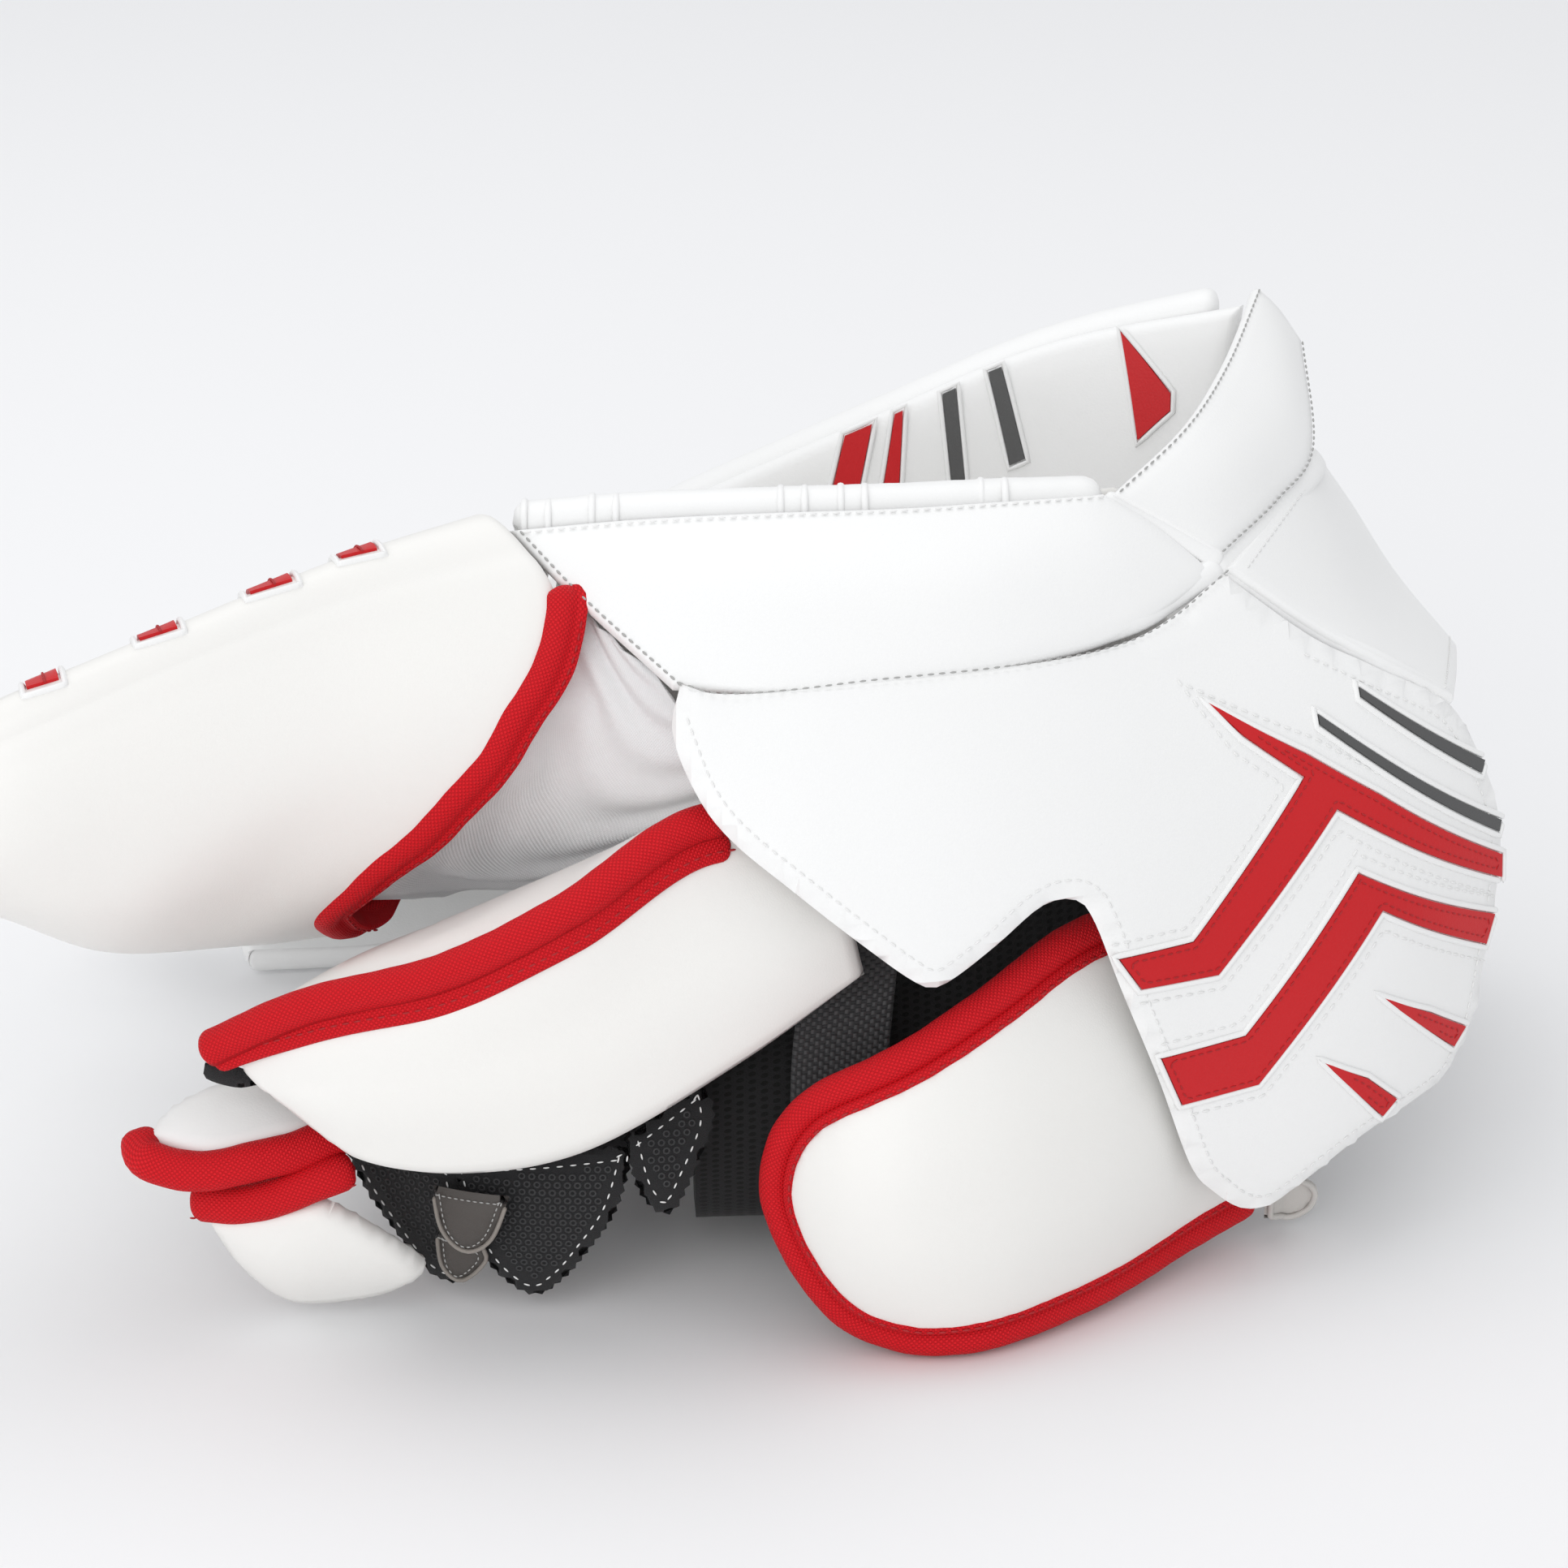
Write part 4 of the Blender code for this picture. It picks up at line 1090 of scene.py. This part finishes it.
def hand():
    glove = ring_tube("inner_glove_body", (
        ((112, 90, 30), (112, 74, 62), (112, 84, 100), (112, 120, 122), (112, 160, 112), (112, 192, 84),
         (112, 192, 48), (112, 150, 24), (112, 90, 30)),
        ((70, 74, 16), (70, 56, 44), (70, 66, 80), (70, 104, 98), (70, 150, 92), (70, 188, 68),
         (70, 192, 36), (70, 140, 12), (70, 74, 16)),
        ((26, 60, 12), (26, 48, 38), (26, 58, 74), (26, 96, 90), (26, 146, 86), (26, 184, 62),
         (26, 190, 32), (26, 130, 9), (26, 60, 12)),
        ((-24, 52, 14), (-24, 38, 36), (-24, 52, 64), (-24, 92, 76), (-24, 138, 72), (-24, 174, 54),
         (-24, 180, 32), (-24, 120, 10), (-24, 52, 14))), BLACK_MESH, PALM, ("inner_glove",), 3.0)
    turn_out(glove)
    for k, reach in enumerate((-104, -112, -110, -98)):
        y = 60 + 31 * k
        path = smooth_line(((-30, y, 38), (-66, y, 36), (reach, y, 30)), 2.0)
        share = np.linspace(0, 1, len(path))
        stall = tapered(f"finger_stall_{k + 1}_sleeve", path, 11.0 * np.sqrt(np.clip((1 - share) * 14, 0.02,
                                                                                     1)),
                        BLACK_MESH, (f"finger_stall_{k + 1}",))
    near = relief((-120, -10), (0, 80), ((46, 26, 22, 24), (40, 20, 16, 20), (48, 28, 24, 30)))
    panels = (
        ((-120, 46), (-114, 32), (-106, 20), (-97, 9), (-88, 8), (-84, 22), (-88, 46)),
        ((-90, 48), (-84, 26), (-78, 14), (-68, 6.5), (-60, 12), (-53, 22), (-45, 36), (-40, 54)),
        ((-42, 56), (-38, 41), (-31, 34), (-25, 44), (-19, 60), (-22, 70)))
    pits = []
    for k, corners in enumerate(panels):
        outline = pinked(smooth_outline(corners, (0, len(corners) - 1), 1.6))
        leather_panel(f"mesh_panel_{k + 1}_cut", cut_form(outline, 0.35, 4.0), near, 1.6, BLACK_SUEDE, PALM,
                      (f"mesh_panel_{k + 1}",), radius=0.4)
        seam = offset_line(smooth_outline(corners, (0, len(corners) - 1), 2.0), 3.0)
        stitch(PALM, "white", on_surface(near, seam, 0.2), 3.6, 1.8, 0.5)
        low, high = np.min(corners, 0), np.max(corners, 0)
        for row, z in enumerate(np.arange(low[1], high[1], 2.3)):
            for x in np.arange(low[0] + (row % 2) * 1.35, high[0], 2.7):
                pits.append((x, z, k))
    pits = np.array(pits)
    keep = np.zeros(len(pits), bool)
    for k, corners in enumerate(panels):
        mine = pits[:, 2] == k
        keep[mine] = within(pits[mine, :2], corners) & (outline_distance(pits[mine, :2], corners) > 4.6)
    places = pits[keep]
    point, normal = with_normals(near, places[:, 0], places[:, 1])
    mesh = bpy.data.meshes.new("hole_places")
    mesh.from_pydata(((point + normal * 0.1 + SHIFT) * MM).tolist(), [], [])
    mesh.attributes.new("facing", 'FLOAT_VECTOR', 'POINT').data.foreach_set("vector", normal.ravel())
    grown("mesh_panel_hole_rims", in_scene("hole_places", mesh), eyelet_tree(), {"Hole": 0.8, "Rim": 0.3},
          GLINT_PAINTED_MESH_RIM, PALM)
    loops(near)
    strap = loft((
        ((2, 40, 34), (28, 42, 34)), ((2, 34, 66), (28, 38, 66)),
        ((4, 38, 90), (30, 42, 92)), ((6, 62, 106), (32, 66, 108))))
    leather_panel("wrist_strap_webbing", grid_form((26, 92), 1.1, 3.0), strap, 2.2, GREY_WEBBING, PALM,
                  ("wrist_strap",))


def turn_out(obj):
    """Point every face of a closed shell outwards."""
    form = bmesh.new()
    form.from_mesh(obj.data)
    bmesh.ops.recalc_face_normals(form, faces=form.faces)
    form.to_mesh(obj.data)
    form.free()


def within(places, outline):
    edge = np.array(outline, float)
    x, z = places.T
    inside = np.zeros(len(places), bool)
    for (ax, az), (bx, bz) in zip(edge, np.roll(edge, -1, 0)):
        inside ^= ((az > z) != (bz > z)) & (x < (bx - ax) * (z - az) / (bz - az + 1e-9) + ax)
    return inside


def pinked(outline):
    """Pinking-shear teeth round a cut: every second point is moved out."""
    p = np.array(outline, float)
    moved = offset_line(p, -0.9)
    p[::2] = moved[::2]
    return [tuple(q) for q in p]


def tapered(name, path, radii, material, nodes):
    """A soft finger sleeve, round at its end."""
    count = 20
    turn = np.linspace(0, 2 * math.pi, count, endpoint=False)
    points = []
    for centre, radius in zip(path, radii):
        points += [(centre[0], centre[1] + math.cos(a) * radius, centre[2] + math.sin(a) * radius * 0.92)
                   for a in turn]
    points.append(tuple(path[0]))
    points.append(tuple(path[-1] + np.array((-0.8, 0, 0))))
    faces = []
    for i in range(len(path) - 1):
        for k in range(count):
            m = (k + 1) % count
            faces.append((i * count + k, (i + 1) * count + k, (i + 1) * count + m, i * count + m))
    start, end, last = len(points) - 2, len(points) - 1, (len(path) - 1) * count
    for k in range(count):
        m = (k + 1) % count
        faces += [(m, start, k), (last + k, end, last + m)]
    uv = [(i * 2.0, k * 3.4) for i in range(len(path)) for k in range(count)] + [(0, 0), (0, 0)]
    obj = build(name, points, faces, uv, material, PALM, nodes)
    turn_out(obj)
    return obj


def loops(near):
    """Folded leather loops of the hand's adjuster, with stitched edges."""
    front = raised(near, 1.0)
    outer = raised(near, 4.4)
    cuts = (
        ("adjuster_loop_1", outer, ((-91, 42), (-89, 30), (-83.5, 24.5), (-77, 29), (-72, 42))),
        ("adjuster_loop_2", front, ((-92, 27), (-91, 15), (-86, 11), (-79.5, 19), (-80, 24))))
    for name, surface, corners in cuts:
        outline = smooth_outline(corners, (0, len(corners) - 1), 1.5)
        leather_panel(name + "_strap", cut_form(outline, 0.9, 3.0), surface, 2.2, TAUPE, PALM, (name,),
                      top=2.2, radius=1.0, crown=0.5, reach=5.0)
        seam = offset_line(outline, 1.8)
        stitch(PALM, "grey", on_surface(surface, seam, 2.5), 1.8, 1.2, 0.4)
        point, normal = with_normals(surface, *np.array(outline).T)
        keep = np.array(outline)[:, 1] < max(c[1] for c in corners) - 2
        sweep(name + "_edge", (point + normal * 1.7)[keep], normal[keep], oval(0.6, 0.7, 8), PALE_TAUPE, PALM)


# ================================================================ thumb

def rim_rolled(u, v):
    """The hood's skin with the soft roll of its rim and the crease below the roll."""
    point, normal = with_normals(HOOD_SKIN, u, v)
    roll = 1.1 * np.exp(-((v - 0.025) / 0.024) ** 2) - 0.5 * np.exp(-((v - 0.07) / 0.010) ** 2)
    return point + normal * (roll * np.clip((0.97 - u) * 12, 0, 1))[:, None]


rim_rolled.step = HOOD_STEP


def thumb():
    hood = leather_panel("thumb_hood_skin", grid_form((165, 190), 2.8, 3.0, ((0.0, 1.0), (0.0, 0.56))),
                         rim_rolled, HOOD, WARM_LEATHER, THUMB, ("thumb_hood",), top=HOOD / 2)
    face = leather_panel("thumb_face_skin", grid_form((150, 110), 2.8, 4.0, ((0.0, 0.93), (0.575, 0.985))),
                         HOOD_SKIN, HOOD, PALM_LEATHER, THUMB, ("thumb_face",),
                         top=HOOD / 2)
    v = np.linspace(0.112, 0.66, 110)
    u = np.full(len(v), 0.004)
    point, normal = with_normals(HOOD_SKIN, u, v)
    along = np.gradient(point, axis=0)
    opening = -np.cross(along, normal)
    opening /= np.linalg.norm(opening, axis=1, keepdims=True)
    waves = 0.55 * np.sin(np.linspace(0, 19, 110)) + 0.35 * np.sin(np.linspace(2, 43, 110))
    path = point + opening * (np.linspace(3.2, -1.2, 110) + waves)[:, None]
    binding("thumb_mouth_binding", path, normal, THUMB, ("thumb_binding",), rolled(4.8, 4.9, 5.6, 3.2, -1),
            0.35)
    stitch(THUMB, "red", (path + opening * 4.6 + normal * 3.3)[7:96], *BINDING_SEAM)
    ball = bmesh.new()
    bmesh.ops.create_uvsphere(ball, u_segments=24, v_segments=16, radius=1.0)
    cap = np.array([vert.co[:] for vert in ball.verts]) * (6.5, 15.0, 12.0) + (-244, 26.5, 145)
    sides = []
    for side in ball.faces:
        ring = [vert.index for vert in side.verts]
        first = ring.index(min(ring))
        sides.append(tuple(ring[first:] + ring[:first]))
    sides.sort()        # the sphere's faces come in another order on each run
    ball.free()
    build("thumb_tip_cap", cap, sides, cap[:, 1:], WARM_LEATHER, THUMB)
    for name, level in (("thumb_rim_roll", 0.992), ("thumb_under_roll", 0.568)):
        point, normal = with_normals(HOOD_SKIN, np.linspace(0.02, 0.96, 90), np.full(90, level))
        roll = sweep(name, point + normal * 0.3, normal, oval(4.2, 3.1, 16), WARM_LEATHER, THUMB,
                     ripple=0.012)
    stitch_run(THUMB, "white", HOOD_SKIN, ((0.01, 0.9), 0.975, 150), HOOD / 2 + 0.1, *FINE_SEAM)
    tabs()


def rolled(width, height, flange, lift, inner=1):
    """Profile of a folded binding: a full roll, then a flat flange with the seam, on the inner side."""
    turn = np.radians(np.linspace(38, 330, 20))
    roll = np.stack((np.cos(turn) * width - 0.9, np.sin(turn) * height), 1)
    flat = ((flange, lift - 1.4), (flange + 0.3, lift - 0.5), (flange - 0.3, lift), (width - 1.0, lift - 0.1))
    points = np.vstack((flat, roll))
    if inner < 0:
        points = points[::-1] * (-1, 1)
    return points


def binding(name, path, normals, body, nodes, profile, taper=1.0):
    return sweep(name, path, normals, profile, RED_NYLON, body, nodes, ripple=0.015, taper=taper)


def tabs():
    """Red leather tabs over the thumb's rim, each between pale welts."""
    width, front, rear = 0.04, 1.024, 0.90
    for k, u in enumerate((0.16, 0.255, 0.37, 0.51)):
        corners = ((u, rear), (u + width, rear), (u + width, front - 0.008), (u, front))
        outline = densify(np.array(corners) * 100, 1.0)
        place, faces, edge, uv = cut_form(outline, 0, 1.5)
        leather_panel(f"rim_tab_{k + 1}_red", (place / 100, faces, edge * 4, uv * 4), HOOD_SKIN, 1.6,
                      RED_LEATHER, THUMB, (f"rim_tab_{k + 1}",), top=HOOD / 2 + 1.9, radius=0)
        stitch_run(THUMB, "red", HOOD_SKIN, (u + width * 0.42, (rear + 0.01, front - 0.004), 24),
                   HOOD / 2 + 2.0, 1.2, 1.6, 0.8)
        ring = densify(np.array(((u - 0.006, rear), (u + width + 0.006, rear),
                                 (u + width + 0.006, front + 0.002), (u - 0.006, front + 0.010))), 0.004)
        point, normal = with_normals(HOOD_SKIN, ring[:, 0], ring[:, 1])
        sweep(f"rim_tab_{k + 1}_welt", point + normal * (HOOD / 2 + 0.9), normal, oval(0.9, 1.3, 8),
              WHITE_LEATHER, THUMB, closed=True)


# ================================================================ guards

def wrist_guard():
    edge = smooth_line(FLAP_EDGE, 2.0)
    outline = [(128, 50), (108, 94)] + [tuple(p) for p in smooth_line(tuple(reversed(FLAP_EDGE)), 4.0)]
    pad = leather_panel("wrist_flap_pad", cut_form(outline, 3.6), FLAP, FOAM - 1.0, WARM_LEATHER, WRIST,
                        ("wrist_flap",), crown=2.4, reach=34.0, top=(FOAM - 1.0) / 2, radius=7.0)
    plump(pad, 2.0)
    point, normal = with_normals(FLAP, edge[:, 0], edge[:, 1])
    binding("wrist_flap_edge_binding", point, normal, WRIST, ("wrist_flap_binding",),
            rolled(4.7, 5.1, 5.8, 4.5))
    seam = offset_line(edge, -4.7, closed=False)
    stitch(WRIST, "red", on_surface(FLAP, seam, 4.6), *BINDING_SEAM)
    tab = smooth_outline(((133, 16), (133, 5), (140, 3), (146, 6), (148, 11), (146, 15), (140, 17)), (0, 1),
                         1.5)
    leather_panel("wrist_flap_loop_tab", cut_form(tab, 1.0, 3.0), FLAP, 2.4, TAB_LEATHER, WRIST,
                  ("wrist_flap_tab",), top=1.2)
    bead = np.array(smooth_line(offset_line(tab, 0.9), 1.0, closed=True))
    point, normal = with_normals(FLAP, bead[:, 0], bead[:, 1])
    sweep("wrist_flap_tab_fold", point + normal * 1.3, normal, oval(0.9, 0.8, 8), TAB_LEATHER, WRIST,
          closed=True)


BACKHAND_PAD = loft((
    ((-133, 5, 74), (-112, 1, 58), (-84, 1, 53), (-50, 4, 59), (-10, 14, 80), (22, 24, 101)),
    ((-144, 6, 80), (-118, 0, 80), (-86, 0, 84), (-52, 5, 95), (-14, 16, 112), (18, 26, 120)),
    ((-152, 12, 85), (-124, 9, 101), (-88, 8, 112), (-56, 12, 128), (-22, 32, 143), (14, 38, 136)),
    ((-150, 26, 82), (-118, 42, 97), (-88, 50, 108), (-57, 54, 120), (-22, 58, 130), (12, 60, 130))))


def backhand_guard():
    cut = ((0, 100), (0, 66), (9, 58), (6, 44), (7, 26), (16, 9), (34, 1), (60, 0), (110, 0), (150, 0),
           (183, 0),
           (185, 3), (185, 50), (185, 97), (183, 100), (120, 100), (60, 100))
    pad = leather_panel("backhand_pad_skin", rounded_form((185, 100), cut, 3.2), BACKHAND_PAD, 8.0,
                        WARM_LEATHER,
                        BACKHAND, ("backhand_pad",), crown=1.0, reach=26.0)
    plump(pad, 1.6)
    u = np.linspace(0.0, 10 / 12, 120)
    point, normal = with_normals(BACKHAND_PAD, u, np.full(120, 0.64))
    path = point + np.array((0, -2.0, 2.0))
    binding("backhand_piping_roll", path, normal, BACKHAND, ("backhand_piping",), oval(4.9, 4.9, 24, 2.3))
    lower, lower_normal = with_normals(BACKHAND_PAD, u[2:], np.full(118, 0.575))
    waves = 0.3 * np.sin(np.linspace(0, 23, 118))[:, None] * np.array((0.0, -0.4, 0.9))
    sweep("backhand_piping_flange", lower + lower_normal * 0.9 + waves, lower_normal, oval(4.6, 1.5, 16, 2.6),
          RED_NYLON, BACKHAND)
    stitch(BACKHAND, "red", on_surface(BACKHAND_PAD, np.stack((u[2:], np.full(118, 0.557)), 1), 2.3) + waves,
           *BINDING_SEAM)
    plain_material("backhand_backing", BLACK_SUEDE)
    fold = relief((-160, -125), (60, 90), ((12, 9), (12, 10), (13, 11)))
    cut = smooth_outline(((-152, 82), (-145, 81.5), (-139, 79), (-138, 76), (-144, 75), (-152, 77.5)),
                         (0, 3), 1.5)
    leather_panel("backhand_backing_fold", cut_form(cut, 0.8, 3.0), fold, 2.0, BLACK_SUEDE, BACKHAND)


def finger_guard():
    upper = loft((
        ((-170, 18, 54), (-151, 10, 53), (-133, 13, 56), (-110, 22, 57)),
        ((-167, 32, 60), (-148, 36, 63), (-130, 38, 64), (-110, 42, 62))))
    cut = ((1, 8), (0, 0), (30, 0), (60, 0), (62, 13), (60, 26), (36, 26), (16, 25.5), (5, 20))
    pad = leather_panel("finger_pad_upper_skin", rounded_form((62, 26), cut, 3.6), upper, 8.0, WHITE_LEATHER,
                        FINGER, ("finger_pad_upper",), crown=1.0, reach=12.0, top=4.0)
    plump(pad, 1.0)
    lower = loft((
        ((-140, 24, 9), (-129, 24, 5), (-112, 23, 7), (-97, 21, 13)),
        ((-148, 16, 24), (-134, 13, 23), (-114, 14, 25), (-96, 17, 25)),
        ((-155, 14, 38), (-140, 11, 40), (-122, 11, 44), (-104, 14, 47))))
    cut = ((1, 40), (1, 28), (3, 14), (10, 2), (28, 0), (44, 1), (52, 6), (50, 16), (44, 26), (38, 35),
           (32, 41),
           (14, 42))
    pad = leather_panel("finger_pad_lower_skin", rounded_form((52, 42), cut, 3.6), lower, 8.0, WARM_LEATHER,
                        FINGER, ("finger_pad_lower",), crown=1.0, reach=14.0, top=4.0)
    plump(pad, 1.2)
    edges = (
        ("finger_pad_binding_upper", 0.6, ((-171, 22, 55), (-168, 13, 52), (-151, 8, 52), (-133, 11, 55),
                                           (-118, 18, 57), (-108, 22, 57))),
        ("finger_pad_binding_lower", 1.6, ((-157, 15, 38), (-146, 11, 39), (-134, 10, 42.5), (-124, 10.5, 46),
                                           (-114, 13, 49))))
    radius = 5.4
    for name, lift, knots in edges:
        path = smooth_line(knots, 1.5)
        wave = 0.35 * np.sin(np.arange(len(path)) / 3.1)[:, None]
        path = path + np.array((0.0, -0.4, lift)) + wave * (0, 0, 1)
        facing = np.tile((0.0, -0.94, 0.34), (len(path), 1))
        binding(name + "_roll", path, facing, FINGER, (name,), oval(radius, radius * 0.85, 24, 2.3))
        stitch(FINGER, "red", path + np.array((0.0, -radius * 0.72, -3.2)), *FINE_SEAM)


# ================================================================ studio

def studio():
    """A camera in front of the glove, a pale floor, three soft lamps and an even sky."""
    centre = Vector(placed((0, 100, 122)))
    distance, elevation = 1.5, math.radians(25)
    back = Vector((0.0, -math.cos(elevation), math.sin(elevation)))
    camera = bpy.data.cameras.new("camera")
    camera.lens = 125.8
    camera.sensor_width = 36
    camera.clip_start = 0.05
    eye = in_scene("camera", camera)
    eye.location = centre + back * distance
    eye.rotation_euler = (-back).to_track_quat('-Z', 'Y').to_euler()
    bpy.context.scene.camera = eye
    mesh = bpy.data.meshes.new("studio_floor")
    wide = 6.0
    mesh.from_pydata([(-wide, -wide, 0), (wide, -wide, 0), (wide, wide, 0), (-wide, wide, 0)], [],
                     [(0, 1, 2, 3)])
    paint = bpy.data.materials.new("floor_paint")
    paint.use_nodes = True
    coat = paint.node_tree.nodes["Principled BSDF"].inputs
    coat["Base Color"].default_value = (0.86, 0.86, 0.865, 1)
    coat["Roughness"].default_value = 0.65
    mesh.materials.append(paint)
    in_scene("studio_floor", mesh)
    lamps = (
        ("overhead", (0.1, 0.45, 1.4), 1.2, 5.0),
        ("front_fill", (-0.5, -1.5, 0.75), 1.6, 11.0),
        ("left_back", (-1.1, 0.5, 0.9), 0.8, 1.5))
    for name, place, size, power in lamps:
        lamp = bpy.data.lights.new(name, 'AREA')
        lamp.size = size
        lamp.energy = power
        obj = in_scene(name, lamp)
        obj.location = place
        obj.rotation_euler = (Vector((0, 0, 0.1)) - Vector(place)).to_track_quat('-Z', 'Y').to_euler()
    world = bpy.data.worlds.new("studio")
    world.use_nodes = True
    sky = world.node_tree.nodes["Background"].inputs
    sky["Color"].default_value = (0.97, 0.98, 1.0, 1)
    sky["Strength"].default_value = 0.78
    bpy.context.scene.world = world
    bpy.context.scene.view_settings.view_transform = 'Standard'


# ================================================================ all together

studio()
cuff()
palm_and_pocket()
finger_side()
hand()
thumb()
wrist_guard()
backhand_guard()
finger_guard()
sew()
